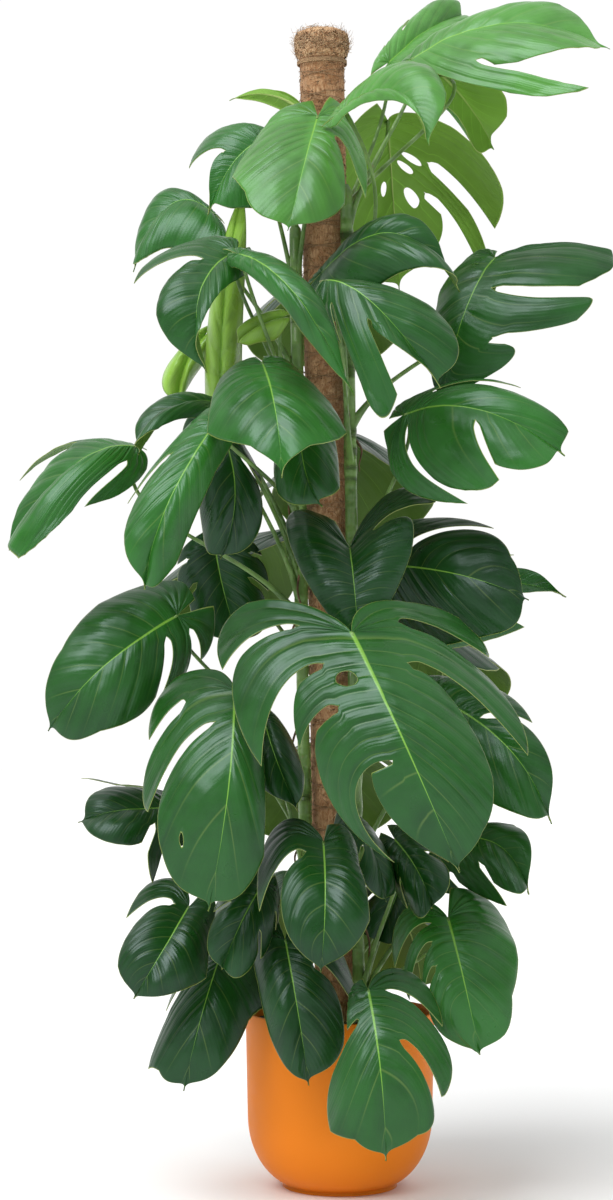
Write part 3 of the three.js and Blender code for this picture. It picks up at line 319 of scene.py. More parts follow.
    leaf("lower_right", "right", "deep",
         [(0.27, 1), (0.53, 0.95), (1, 0.75)],
         [(0.27, 0.95), (0.53, 0.95, 0.78, 0.07, 0.1, 2, 0.5), (1, 0.72, 0.72, 0.03)],
         [(134, 652, -70), (228, 585, -130), (284, 485, -140), (175, 530, -120), (250, 652, -80)]),
    leaf("lower_right_small", "right", "deep",
         [(0.28, 1, 1.04, 0.07, 0.7, 1, 0.5), (0.5, 0.99, 1.144, 0.07, 0.6, 1, 0.5), (1, 1.008, 0.9, 0.03)],
         [(0.28, 1), (0.5, 0.75), (1, 0.6)],
         [(148, 464, -30), (215, 455, -90), (254, 390, -130), (181, 397, -110), (242, 490, -60)]),
    leaf("bottom_right", "right", "middle",
         [(0.34, 0.75, 0.95, 0.13, 0.28), (0.45, 0.9, 0.96, 0.18, 0.35, 1, 0.8),
          (0.52, 0.55, 0.78, 0.22, 0.4, 1, 0.5), (0.7, 0.95, 1, 0.22), (1, 1)],
         [(0.34, 1, 0.93), (0.45, 0.93), (0.64, 0.84), (0.8, 0.97), (1, 0.93)],
         [(145, 359, -134), (168, 269, -197), (188, 175, -184), (65, 296, -164), (245, 316, -154)]),
    leaf("bottom_middle", "right", "deep",
         [(0.3, 0.35), (0.45, 0.35, 0.45, 0, 0.24, 1.2, 1), (0.6, 0.95, 1.05), (0.74, 0.86), (1, 0.84)],
         [(0.3, 0.95, 0.88, 0.09, 0.22, 1.2, 0.3), (0.4, 0.93, 0.92, 0.15),
          (0.5, 0.92, 0.88, 0.22, 0.3, 1.5, 1), (0.65, 0.95, 0.87, 0.2), (1, 0.92)],
         [(38, 261, -248), (55, 148, -308), (62, 32, -298), (-30, 148, -268), (160, 182, -258)]),
    leaf("bottom_front", "left", "dark",
         [(0.4, 1, 0.93), (0.6, 1), (1, 1)],
         [(0.4, 1, 1, 0.1, 0.35, 2, 0.4), (0.6, 0.7, 0.82, 0.1), (1, 0.85)],
         [(-74, 329, -150), (-56, 229, -200), (-42, 134, -200), (-112, 265, -170), (27, 249, -170)]),
    leaf("bottom_left", "left", "dark",
         [(0.38, 0.95, 0.86, 0.12, 0.38, 2), (0.5, 0.85, 1.02, 0.12), (0.72, 0.88), (1, 0.95)],
         [(0.38, 0.97, 0.96), (0.5, 0.83), (0.72, 0.88), (1, 0.95)],
         [(-155, 323, -72), (-184, 235, -136), (-210, 126, -152), (-249, 222, -82), (-103, 231, -102)]),
    leaf("bottom_far_left", "left", "dark",
         [(0.36, 0.95, 0.92, 0.14, 0.25, 2.2, 0.5), (0.6, 0.7, 0.9, 0.18), (1, 0.95)],
         [(0.34, 0.6, 0.7), (0.5, 1.18), (1, 0.8)],
         [(-203, 374, -106), (-242, 309, -166), (-277, 250, -166), (-294, 368, -116),
          (-172, 312, -146)], rise=110, bend=15),
    leaf("bottom_inner_left", "left", "dark", NOTCHED, NOTCHED,
         [(-105, 403, -146), (-134, 350, -176), (-159, 289, -176), (-165, 383, -156), (-97, 316, -176)]),
    leaf("lower_middle", "left", "dark",
         [(0.42, 0.85, 1.12, 0.14, 0.3, 1.8, 0.5), (0.6, 0.75, 0.9, 0.2), (1, 1)],
         [(0.42, 0.6, 0.66), (0.6, 0.98), (1, 0.95)],
         [(-22, 461, -206), (-20, 376, -276), (-26, 285, -286), (-110, 425, -236), (51, 415, -246)]),
    leaf("lower_edge_on", "right", "dark", NOTCHED, NOTCHED,
         [(13, 497, -128), (43, 450, -158), (62, 380, -158), (16, 437, -198),
          (60, 450, -88)], rise=110, bend=15),
    leaf("lower_inner", "right", "dark", NOTCHED, NOTCHED,
         [(87, 423, 42), (71, 376, 4), (50, 324, -13), (27, 390, 17), (105, 363, 12)], bend=15),
    leaf("lower_inner_right", "right", "dark", NOTCHED, NOTCHED,
         [(74, 464, -90), (105, 421, -147), (124, 371, -170), (78, 383, -130), (137, 450, -120)]),
    leaf("lower_far_left", "left", "dark",
         [(0.34, 1, 1.4, 0.05, 0.6, 1.5, 0.5), (0.5, 0.86, 0.8, 0.05), (1, 0.65)],
         [(0.32, 1, 0.96, 0, 0.5, 1, 0.5), (0.46, 1.2, 1.6, -0.04, 0.5, 1.2, 0.5), (1, 0.95, 0.9)],
         [(-222, 504, -20), (-289, 504, -60), (-352, 487, -50), (-314, 543, 0), (-261, 448, -90)]),
    leaf("lower_small", "left", "dark",
         [(0.3, 0.8, 0.9), (0.5, 0.95), (1, 0.5)],
         [(0.3, 1), (0.5, 1), (1, 0.7)],
         [(-101, 622, -150), (-83, 565, -190), (-56, 501, -190), (-126, 558, -170), (-54, 571, -180)]),
    leaf("rear_bottom_left", "back", "dark", FEW, FEW,
         [(-60, 420, 106), (-110, 400, 196), (-140, 310, 246), (0, 350, 206), (-190, 340, 166)]),
    leaf("rear_bottom_right", "back", "dark", FEW, FEW,
         [(50, 380, 74), (90, 350, 157), (110, 260, 184), (190, 330, 144), (0, 300, 174)]),
    leaf("rear_lower", "back", "dark", FEW, FEW,
         [(-20, 600, 106), (-30, 560, 216), (-40, 450, 276), (110, 530, 216), (-150, 530, 216)]),
    leaf("rear_right", "back", "dark", FEW, FEW,
         [(60, 760, 118), (120, 730, 218), (150, 620, 278), (220, 700, 188), (20, 660, 248)], rise=150),
    leaf("rear_left", "back", "dark", NOTCHED, NOTCHED,
         [(-70, 880, 96), (-130, 850, 196), (-160, 740, 246), (-30, 800, 216), (-240, 820, 156)]),
    leaf("rear_middle", "back", "dark", FEW, FEW,
         [(10, 1010, 106), (20, 980, 216), (20, 860, 276), (140, 930, 226), (-110, 930, 226)], rise=150),
    leaf("rear_upper", "back", "dark", FEW, FEW,
         [(-20, 1230, 138), (-30, 1200, 238), (-40, 1090, 288), (100, 1150, 248), (-140, 1150, 248)]),
]

# Small holes beside the midribs: half of the blade, lobe, how far across and out it lies, half sizes
HOLES = {
    "large_middle": [("left", 2, 0.5, 0.19, 0.19, 0.075)],
    "lower_left": [("left", 3, 0.22, 0.74, 0.055, 0.03)],
    "crown_turned": [("left", 1, 0.24, 0.22, 0.15, 0.10), ("left", 1, 0.7, 0.16, 0.15, 0.085),
                     ("left", 2, 0.17, 0.27, 0.08, 0.11), ("right", 2, 0.14, 0.18, 0.07, 0.06)],
}

# Tones of the leaves that are still soft and smooth, and the share of the usual folds that they have
TENDER = {"young", "fresh"}
TENDER_FOLD = 0.35

# Large leaves with other names. The group of every other leaf is the first word of its name
LARGE = {"heart_left", "dark_middle", "dark_right", "back_right", "lower_left"}


def colour_property(name, description, value):
    return FloatVectorProperty(name=name, description=description, default=value, size=3,
                               min=0, max=1, subtype="COLOR")


def length_property(name, description, value, low=0.0001, high=2):
    return FloatProperty(name=name, description=description, default=value, min=low, max=high,
                         unit="LENGTH", subtype="DISTANCE")


def light_property(name, description, value):
    return FloatProperty(name=name, description=description, default=value, min=0, max=20)


def count_property(name, description, value, low, high):
    return IntProperty(name=name, description=description, default=value, min=low, max=high)


class PotSettings(bpy.types.PropertyGroup):
    height: length_property("Height", "Height of the pot", 0.235)
    rim_radius: length_property("Rim Radius", "Outer radius at the rim", 0.127)
    foot_radius: length_property("Foot Radius", "Radius of the flat foot", 0.074)
    wall: length_property("Wall", "Thickness of the plastic", 0.004)
    edge_centre: length_property("Edge Centre", "Radius at which the round lower edge starts", 0.052)
    edge_width: length_property("Edge Width", "How far the round lower edge runs out", 0.072)
    edge_height: length_property("Edge Height", "How high the round lower edge runs up", 0.095)
    segments: count_property("Segments", "Sides of the pot", 96, 12, 256)
    colour: colour_property("Plastic", "Colour of the plastic", (0.76, 0.205, 0.010))
    soil_dark: colour_property("Damp Soil", "Colour of the damp potting mix", (0.012, 0.007, 0.004))
    soil_light: colour_property("Dry Soil", "Colour of the dry crumbs", (0.085, 0.050, 0.028))


class PoleSettings(bpy.types.PropertyGroup):
    strands: count_property("Strands", "Loose coir strands on the pole", 4300, 0, 9000)
    cap_strands: count_property("Cap Strands", "Loose coir strands on the rolled top", 1300, 0, 4000)
    strand_radius: length_property("Strand Radius", "Radius of a coir strand", 0.00028, 0.0001, 0.002)
    dark: colour_property("Dark Coir", "Colour of the packed coir", (0.30, 0.14, 0.060))
    light: colour_property("Light Coir", "Colour of the loose strands", (0.86, 0.62, 0.37))
    twine: colour_property("Twine", "Colour of the twine", (0.50, 0.31, 0.16))


class VineSettings(bpy.types.PropertyGroup):
    stem_radius: length_property("Stem Radius", "Radius of a climbing stem", 0.0095)
    stalk_radius: length_property("Stalk Radius", "Radius of a leaf stalk at its middle", 0.0029)
    sides: count_property("Sides", "Sides of a stem or stalk", 14, 5, 48)
    green: colour_property("Stem Green", "Colour of the stems", (0.155, 0.285, 0.065))
    dark: colour_property("Old Green", "Colour of the old stems and stalks", (0.045, 0.11, 0.022))
    root: colour_property("Root Brown", "Colour of the aerial roots", (0.115, 0.062, 0.03))


class BladeSettings(bpy.types.PropertyGroup):
    cell: length_property("Cell", "Size of a blade's mesh cells", 0.0034, 0.001, 0.02)
    thickness: length_property("Thickness", "Thickness of a blade between its veins", 0.0009)
    midrib: length_property("Midrib", "Thickness of a blade at its midrib by the stalk", 0.0034)
    pleat: length_property("Pleat", "How far the blade swells between side veins", 0.0021)
    fold: length_property("Folds", "How deep the uneven folds beside the midrib are", 0.0013)
    young: colour_property("Young Leaf", "Upper side of a young leaf", (0.22, 0.40, 0.05))
    fresh: colour_property("Fresh Leaf", "Upper side of a fresh leaf", (0.066, 0.215, 0.033))
    middle: colour_property("Middle Leaf", "Upper side of a grown leaf", (0.019, 0.108, 0.012))
    deep: colour_property("Deep Leaf", "Upper side of an old leaf", (0.012, 0.072, 0.008))
    # The darkest tone goes to many of the lower, inner and rear leaves: partly the darker green of old
    # leaves, partly painted shade for leaves that lie in the shade of others
    dark: colour_property("Shaded Leaf", "Upper side of the oldest leaves", (0.005, 0.040, 0.004))


class StageSettings(bpy.types.PropertyGroup):
    floor: colour_property("Floor", "Colour of the floor", (0.84, 0.84, 0.84))
    wall: light_property("Back Light", "Strength of the even light from behind", 1.02)
    front: light_property("Front Light", "Strength of the even light from the front", 0.12)
    ceiling: light_property("Ceiling Light", "Strength of the even light from above", 0.85)
    key: light_property("Key Light", "Strength of the main soft light", 2.7)
    key_spread: FloatProperty(name="Key Spread", description="Angle that the main soft light fills",
                              default=math.radians(44), min=0, max=math.pi, subtype="ANGLE")


class PlantSettings(bpy.types.PropertyGroup):
    pot: PointerProperty(type=PotSettings, name="Pot", description="Sizes and colours of the pot")
    pole: PointerProperty(type=PoleSettings, name="Pole", description="The coir pole")
    vine: PointerProperty(type=VineSettings, name="Vines", description="Stems, stalks and roots")
    blade: PointerProperty(type=BladeSettings, name="Blades", description="The leaf blades")
    stage: PointerProperty(type=StageSettings, name="Stage", description="Floor and lights")


def settings():
    return bpy.context.scene.swiss_cheese_plant


# Materials

class Nodes:
    """Adds nodes to a new material or world, one after another."""

    def __init__(self, name, kind="materials", shader="Principled BSDF"):
        self.owner = getattr(bpy.data, kind).new(name)
        self.owner.use_nodes = True
        self.tree = self.owner.node_tree
        self.shader = self.tree.nodes[shader]

    def add(self, kind, inputs=(), **values):
        node = self.tree.nodes.new(kind)
        for key, value in values.items():
            setattr(node, key, value)
        for key, value in dict(inputs).items():
            self.join(value, node.inputs[key])
        return node

    def join(self, value, socket):
        """Links the output of another node to socket, or sets a number or colour on it."""
        if isinstance(value, bpy.types.NodeSocket):
            self.tree.links.new(value, socket)
        else:
            socket.default_value = (*value[:3], 1) if socket.type == "RGBA" else value

    def math(self, operation, a, b=0.0):
        return self.add("ShaderNodeMath", {0: a, 1: b}, operation=operation).outputs[0]

    def times(self, a, b):
        return self.math("MULTIPLY", a, b)

    def split(self, vector):
        return self.add("ShaderNodeSeparateXYZ", {0: vector}).outputs

    def attribute(self, name):
        return self.add("ShaderNodeAttribute", attribute_name=name).outputs["Fac"]

    def ramp(self, value, low, high, start=0.0, end=1.0):
        """Smoothly from start, where value is low, to end, where it is high."""
        node = self.add("ShaderNodeMapRange", {"Value": value, "From Min": low, "From Max": high,
                                               "To Min": start, "To Max": end},
                        interpolation_type="SMOOTHSTEP")
        return node.outputs["Result"]

    def mix(self, share, a, b):
        node = self.add("ShaderNodeMix", data_type="RGBA")
        for key, value in {"Factor": share, "A": a, "B": b}.items():
            self.join(value, node.inputs[key])
        return node.outputs["Result"]

    def lay(self, base, mask, share, colour):
        """Lays colour over base: as much as share where mask is 1."""
        return self.mix(self.times(mask, share), base, colour)

    def mottle(self, patches, dark, light, low=0.3, high=0.7):
        """From dark to light in soft patches."""
        return self.mix(self.ramp(patches, low, high), dark, light)

    def place(self, scale=(1, 1, 1)):
        """Object coordinates, stretched by scale."""
        where = self.add("ShaderNodeTexCoord").outputs["Object"]
        return self.add("ShaderNodeMapping", {"Vector": where, "Scale": scale}).outputs["Vector"]

    def noise(self, where, scale, detail=3.0, rough=0.5):
        return self.add("ShaderNodeTexNoise", {"Vector": where, "Scale": scale, "Detail": detail,
                                               "Roughness": rough}).outputs["Fac"]

    def bump(self, height, distance, strength, below=None):
        below = {"Normal": below} if below else {}
        return self.add("ShaderNodeBump", {"Height": height, "Distance": distance, "Strength": strength,
                                           **below}).outputs["Normal"]

    def finish(self, **inputs):
        """Sets the shader's inputs, named in lower case with underscores, and gives the finished owner."""
        by_name = {socket.name.lower().replace(" ", "_"): socket for socket in self.shader.inputs}
        for key, value in inputs.items():
            self.join(value, by_name[key])
        return self.owner


def tinted(colour, factor, green=1.0):
    return (min(1, colour[0] * factor), min(1, colour[1] * factor * green), min(1, colour[2] * factor))


def blended(colour, other, share):
    """Share of the way from colour to other."""
    return tuple((1 - share) * a + share * b for a, b in zip(colour, other))


def leaf_parts(m):
    """Where a point of a blade lies, each from 0 to 1: on a side vein, between side veins, on the midrib,
    near the midrib, at the margin and between the finest veins."""
    turns, out, _ = m.split(m.add("ShaderNodeUVMap", uv_map="Veins").outputs[0])
    apart = m.split(m.add("ShaderNodeUVMap", uv_map="Rib").outputs[0])[0]

    def from_middle(turn):
        return m.math("ABSOLUTE", m.math("SUBTRACT", m.math("FRACT", turn), 0.5))

    from_vein = from_middle(m.math("ADD", turns, 0.5))
    side = m.times(m.ramp(from_vein, 0.0, 0.045, 1.0, 0.0), m.ramp(out, 0.3, 1.0, 1.0, 0.1))
    swell = m.ramp(from_vein, 0.0, 0.5)
    middle = m.ramp(apart, 0.55, 1.15, 1.0, 0.0)
    near = m.ramp(apart, 1.0, 9.0, 1.0, 0.0)
    edge = m.ramp(m.attribute("margin"), 0.72, 0.9)
    fine = from_middle(m.times(turns, FINE_VEINS))
    return side, swell, middle, near, edge, fine


def ripples(m):
    """Uneven folds that run with the side veins: deep beside the midrib, shallow at the margin."""
    flat = m.add("ShaderNodeUVMap", uv_map="Veins").outputs[0]
    stretched = m.add("ShaderNodeMapping", {"Vector": flat, "Scale": (2.6, 1.3, 1)}).outputs["Vector"]
    return m.times(m.noise(stretched, 1.0, 2.0, 0.55), m.ramp(m.split(flat)[1], 0.15, 0.9, 1.0, 0.25))


def leaf_upper(name, colour, tender):
    """Glossy upper side of a blade, with pale midrib, side veins and margin."""
    m = Nodes(name)
    side, swell, middle, near, edge, fine = leaf_parts(m)
    where = m.place()
    base = m.mottle(m.noise(where, 9.0, 4.0, 0.6), tinted(colour, 0.72), tinted(colour, 1.28, 1.02),
                    0.32, 0.68)
    # Painted highlight and painted shade: lighter where the blade swells between the side veins, darker in
    # the grooves along them
    base = m.lay(base, swell, 0.35, tinted(colour, 1.35))
    base = m.lay(base, near, 0.35, tinted(colour, 1.5, 1.05))
    base = m.lay(base, side, 0.4, blended(colour, (0.30, 0.42, 0.10), 0.45))
    base = m.lay(base, middle, 0.95, blended(colour, (0.24, 0.50, 0.06), 0.7))
    base = m.lay(base, edge, 0.8, (0.33, 0.42, 0.10))
    grain = m.math("ADD", m.times(m.noise(where, 620.0, 2.0, 0.6), 0.35), m.times(fine, 0.8))
    folds = m.bump(ripples(m), 0.004, 0.08 if tender else 0.17)
    return m.finish(base_color=base, roughness=m.ramp(m.noise(where, 30.0), 0.3, 0.7, 0.27, 0.38),
                    normal=m.bump(grain, 0.0005, 0.5, folds), specular_ior_level=0.43,
                    specular_tint=(0.80, 0.94, 1))


def leaf_under(name, colour, tender):
    """Duller and paler underside of a blade, with raised veins."""
    m = Nodes(name)
    side, _, middle, _, edge, fine = leaf_parts(m)
    # Grown leaves take less of the pale underside colour, so their undersides stay dark: painted shade for
    # undersides that lie in the shade within the plant
    pale = blended(tinted(colour, 1.25), (0.22, 0.38, 0.035), 0.55 if tender else 0.28)
    base = m.mottle(m.noise(m.place(), 10.0, 4.0), tinted(pale, 0.85), tinted(pale, 1.15))
    base = m.lay(base, side, 0.6, tinted(pale, 1.7))
    base = m.lay(base, middle, 0.9, (0.33, 0.45, 0.13))
    base = m.lay(base, edge, 0.7, (0.34, 0.42, 0.10))
    height = m.math("SUBTRACT", m.times(fine, 0.4), side)
    return m.finish(base_color=base, roughness=0.55, normal=m.bump(height, 0.0006, 0.5),
                    specular_ior_level=0.25)


def leaf_margin(name, colour):
    m = Nodes(name)
    pale = blended(colour, (0.42, 0.48, 0.14), 0.6)
    base = m.mix(m.noise(m.place(), 60.0), tinted(pale, 0.8), tinted(pale, 1.2))
    return m.finish(base_color=base, roughness=0.45)


def stem_skin(name, green, dark):
    """Stem and stalk skin: mottled, with fine lengthwise lines and small scars."""
    m = Nodes(name)
    where = m.place()
    lines = m.noise(m.place((1, 1, 0.06)), 900.0, 2.0)
    base = m.mottle(m.noise(where, 26.0, 4.0, 0.6), dark, green)
    base = m.lay(base, lines, 0.35, tinted(green, 1.4))
    base = m.lay(base, m.ramp(m.noise(where, 240.0, 2.0), 0.64, 0.72), 0.5, (0.20, 0.17, 0.07))
    return m.finish(base_color=base, roughness=0.42, normal=m.bump(lines, 0.0004, 0.5), coat_weight=0.1)


def root_skin(name, brown):
    m = Nodes(name)
    where = m.place()
    base = m.mottle(m.noise(where, 70.0, 4.0), tinted(brown, 0.6), tinted(brown, 1.7))
    return m.finish(base_color=base, roughness=0.75, normal=m.bump(m.noise(where, 700.0), 0.0005, 0.7))


def coir_fibre(name, dark, light):
    """Coconut fibre: each strand has its own shade from its shade attribute."""
    m = Nodes(name)
    matted = m.noise(m.place((1, 1, 0.35)), 420.0, 5.0, 0.7)
    base = m.mix(m.times(m.ramp(matted, 0.35, 0.7), m.attribute("shade")), dark, light)
    base = m.mix(m.ramp(m.noise(m.place(), 16.0), 0.35, 0.7, 0.0, 0.4), base, (0.36, 0.17, 0.075))
    return m.finish(base_color=base, roughness=0.9, normal=m.bump(matted, 0.0016, 0.8), sheen_weight=0.1,
                    specular_ior_level=0.12)


def twisted_twine(name, colour):
    m = Nodes(name)
    wave = m.add("ShaderNodeTexWave", {"Vector": m.place((1, 1, 2.2)), "Scale": 260.0, "Distortion": 2.0},
                 bands_direction="DIAGONAL").outputs["Fac"]
    base = m.mix(m.times(wave, 0.7), tinted(colour, 0.5), tinted(colour, 1.3))
    fluff = m.math("ADD", wave, m.noise(m.place(), 1500.0, 2.0))
    return m.finish(base_color=base, roughness=0.88, normal=m.bump(fluff, 0.0006, 0.8))


def raw_wood(name):
    m = Nodes(name)
    grain = m.noise(m.place((1, 1, 0.05)), 260.0, 4.0)
    base = m.mix(grain, (0.22, 0.12, 0.055), (0.42, 0.27, 0.14))
    return m.finish(base_color=base, roughness=0.75, normal=m.bump(grain, 0.0005, 0.6))


def moulded_plastic(name, colour):
    """Smooth matt plastic with a faint moulded grain."""
    m = Nodes(name)
    where = m.place()
    base = m.mottle(m.noise(where, 5.0, 2.0), tinted(colour, 0.96), tinted(colour, 1.04))
    return m.finish(base_color=base, roughness=m.ramp(m.noise(where, 35.0), 0.3, 0.7, 0.44, 0.52),
                    normal=m.bump(m.noise(where, 900.0, 2.0, 0.6), 0.0002, 0.35), specular_ior_level=0.14)


def potting_mix(name, dark, light):
    m = Nodes(name)
    crumbs = m.noise(m.place(), 160.0, 6.0, 0.7)
    return m.finish(base_color=m.mottle(crumbs, dark, light, 0.45, 0.72), roughness=0.95,
                    normal=m.bump(crumbs, 0.004, 0.9))


def pale_floor(name, colour):
    m = Nodes(name)
    return m.finish(base_color=m.mix(m.noise(m.place(), 2.0), tinted(colour, 0.995), colour), roughness=0.7)


# Meshes

def new_piece(name, bm, materials, replaced=(), smooth=True):
    """Turns a bmesh in millimetres into a piece that rides on the plant's one body."""
    bmesh.ops.scale(bm, vec=(MM, MM, MM), verts=bm.verts)
    mesh = bpy.data.meshes.new(name)
    bm.to_mesh(mesh)
    bm.free()
    if smooth:
        mesh.shade_smooth()
    piece = bpy.data.objects.new(name, mesh)
    bpy.context.scene.collection.objects.link(piece)
    for material in materials:
        mesh.materials.append(material)
    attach(piece, "root")
    if replaced:
        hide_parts(*replaced)
    return piece


def between(start, end, share):
    return start + (end - start) * share


def round_axis(radius, angle, height):
    """A point beside the upright axis."""
    return Vector((radius * math.cos(angle), radius * math.sin(angle), height))


def bell(value, middle, width):
    return math.exp(-((value - middle) / width) ** 2)


def close_faces(bm):
    bmesh.ops.recalc_face_normals(bm, faces=bm.faces)
    return bm


def lean(bm):
    """Leans what was made round the upright axis with the pole."""
    bmesh.ops.rotate(bm, cent=(0, 0, 0), matrix=Matrix.Rotation(-math.atan(POLE_LEAN), 3, "Y"),
                     verts=bm.verts)


def spun(profile, segments):
    """A closed profile of (radius, height) points, spun round the upright axis."""
    bm = bmesh.new()
    corners = [bm.verts.new((radius, 0, height)) for radius, height in profile]
    edges = [bm.edges.new((a, b)) for a, b in zip(corners, corners[1:])]
    bmesh.ops.spin(bm, geom=corners + edges, cent=(0, 0, 0), axis=(0, 0, 1), angle=FULL_TURN,
                   steps=segments, use_merge=True)
    bmesh.ops.remove_doubles(bm, verts=bm.verts, dist=0.001)
    return close_faces(bm)


def tube_rings(path, radii, sides):
    """The corners of each ring of a tube along path, which twists as little as it can."""
    across = (path[1] - path[0]).normalized().orthogonal().normalized()
    turns = [FULL_TURN * side / sides for side in range(sides)]
    for index, radius in enumerate(radii):
        tangent = (path[min(index + 1, len(path) - 1)] - path[max(index - 1, 0)]).normalized()
        across = (across - tangent * across.dot(tangent)).normalized()
        other = tangent.cross(across)
        yield [path[index] + across * (radius * math.cos(turn)) + other * (radius * math.sin(turn))
               for turn in turns]


def sweep(bm, path, radii, sides):
    """A closed tube along path, with a radius at each of its points, joined to bm."""
    ring = list(bmesh.ops.create_circle(bm, cap_ends=True, segments=sides, radius=1)["verts"])
    top = ring[0].link_faces[0]
    rings = [ring]
    for _ in path[1:]:
        grown = bmesh.ops.extrude_face_region(bm, geom=[top])["geom"]
        top = next(item for item in grown if isinstance(item, bmesh.types.BMFace))
        fresh = {item for item in grown if isinstance(item, bmesh.types.BMVert)}
        ring = [next(other for edge in vert.link_edges if (other := edge.other_vert(vert)) in fresh)
                for vert in ring]
        rings.append(ring)
    for ring, corners in zip(rings, tube_rings(path, radii, sides)):
        for vert, corner in zip(ring, corners):
            vert.co = corner


# Leaf blades

def seen(point):
    """A leaf point on the line of sight through its place in the upright plane of the pole."""
    x, z, y = point
    return EYE + (Vector((x, 0, z)) - EYE) * ((y - EYE.y) / -EYE.y)


def vein_root(phi):
    """How far along the midrib the side vein that ends at phi of the margin starts."""
    return max(0, (phi - 0.25) / 0.75) ** 1.5


def vein_point(phi, out, root):
    """Along the midrib and across from it, as shares, for a point of half a heart shape in the flat."""
    phi = min(phi, 1)
    drawn = TIP_DRAWN * phi ** 4 * (1 - phi ** 12)
    edge_along = HEART_MIDDLE - HEART_HALF * math.cos(math.pi * phi) - drawn
    edge_across = max(math.sin(math.pi * phi ** 0.72), 0) ** (0.75 + 1.05 * phi ** 6)
    bow = VEIN_BOW * math.sin(math.pi * min(out, 1)) * edge_across
    return between(root, edge_along, out) - bow, edge_across * out


def slit_half(t, slit, gap, mouth):
    """Half of a slit's width along the margin, at t out from the midrib."""
    if t <= slit or slit >= 1:
        return 0
    u = (t - slit) / (1 - slit)
    return 0.5 * SLIT_WIDTH * gap * min(1, math.sqrt(8 * u)) * (1 - (1 - mouth) * u)


def lobes_of(rows):
    """The lobes of half a blade, each joined to the one before, from their rows of numbers."""
    lobes = []
    for row in rows:
        end, start_reach = row[:2]
        end_reach, swept, *slit = row[2:] + (start_reach, 0, 1, 1, 0.6)[len(row) - 2:]
        before = lobes[-1] if lobes else None
        joined = before and before["after"][0] >= 1
        lobes.append({
            "start": before["end"] if before else NOTCH,
            "end": end,
            "before": before["after"] if before else (1, 1, 0.6),
            "after": tuple(slit),
            "from": before["to"] if joined else start_reach,
            "to": end_reach,
            "sweep_in": before["sweep_to"] if before else swept,
            "sweep_from": before["sweep_to"] if joined else swept,
            "sweep_to": swept,
        })
    return lobes


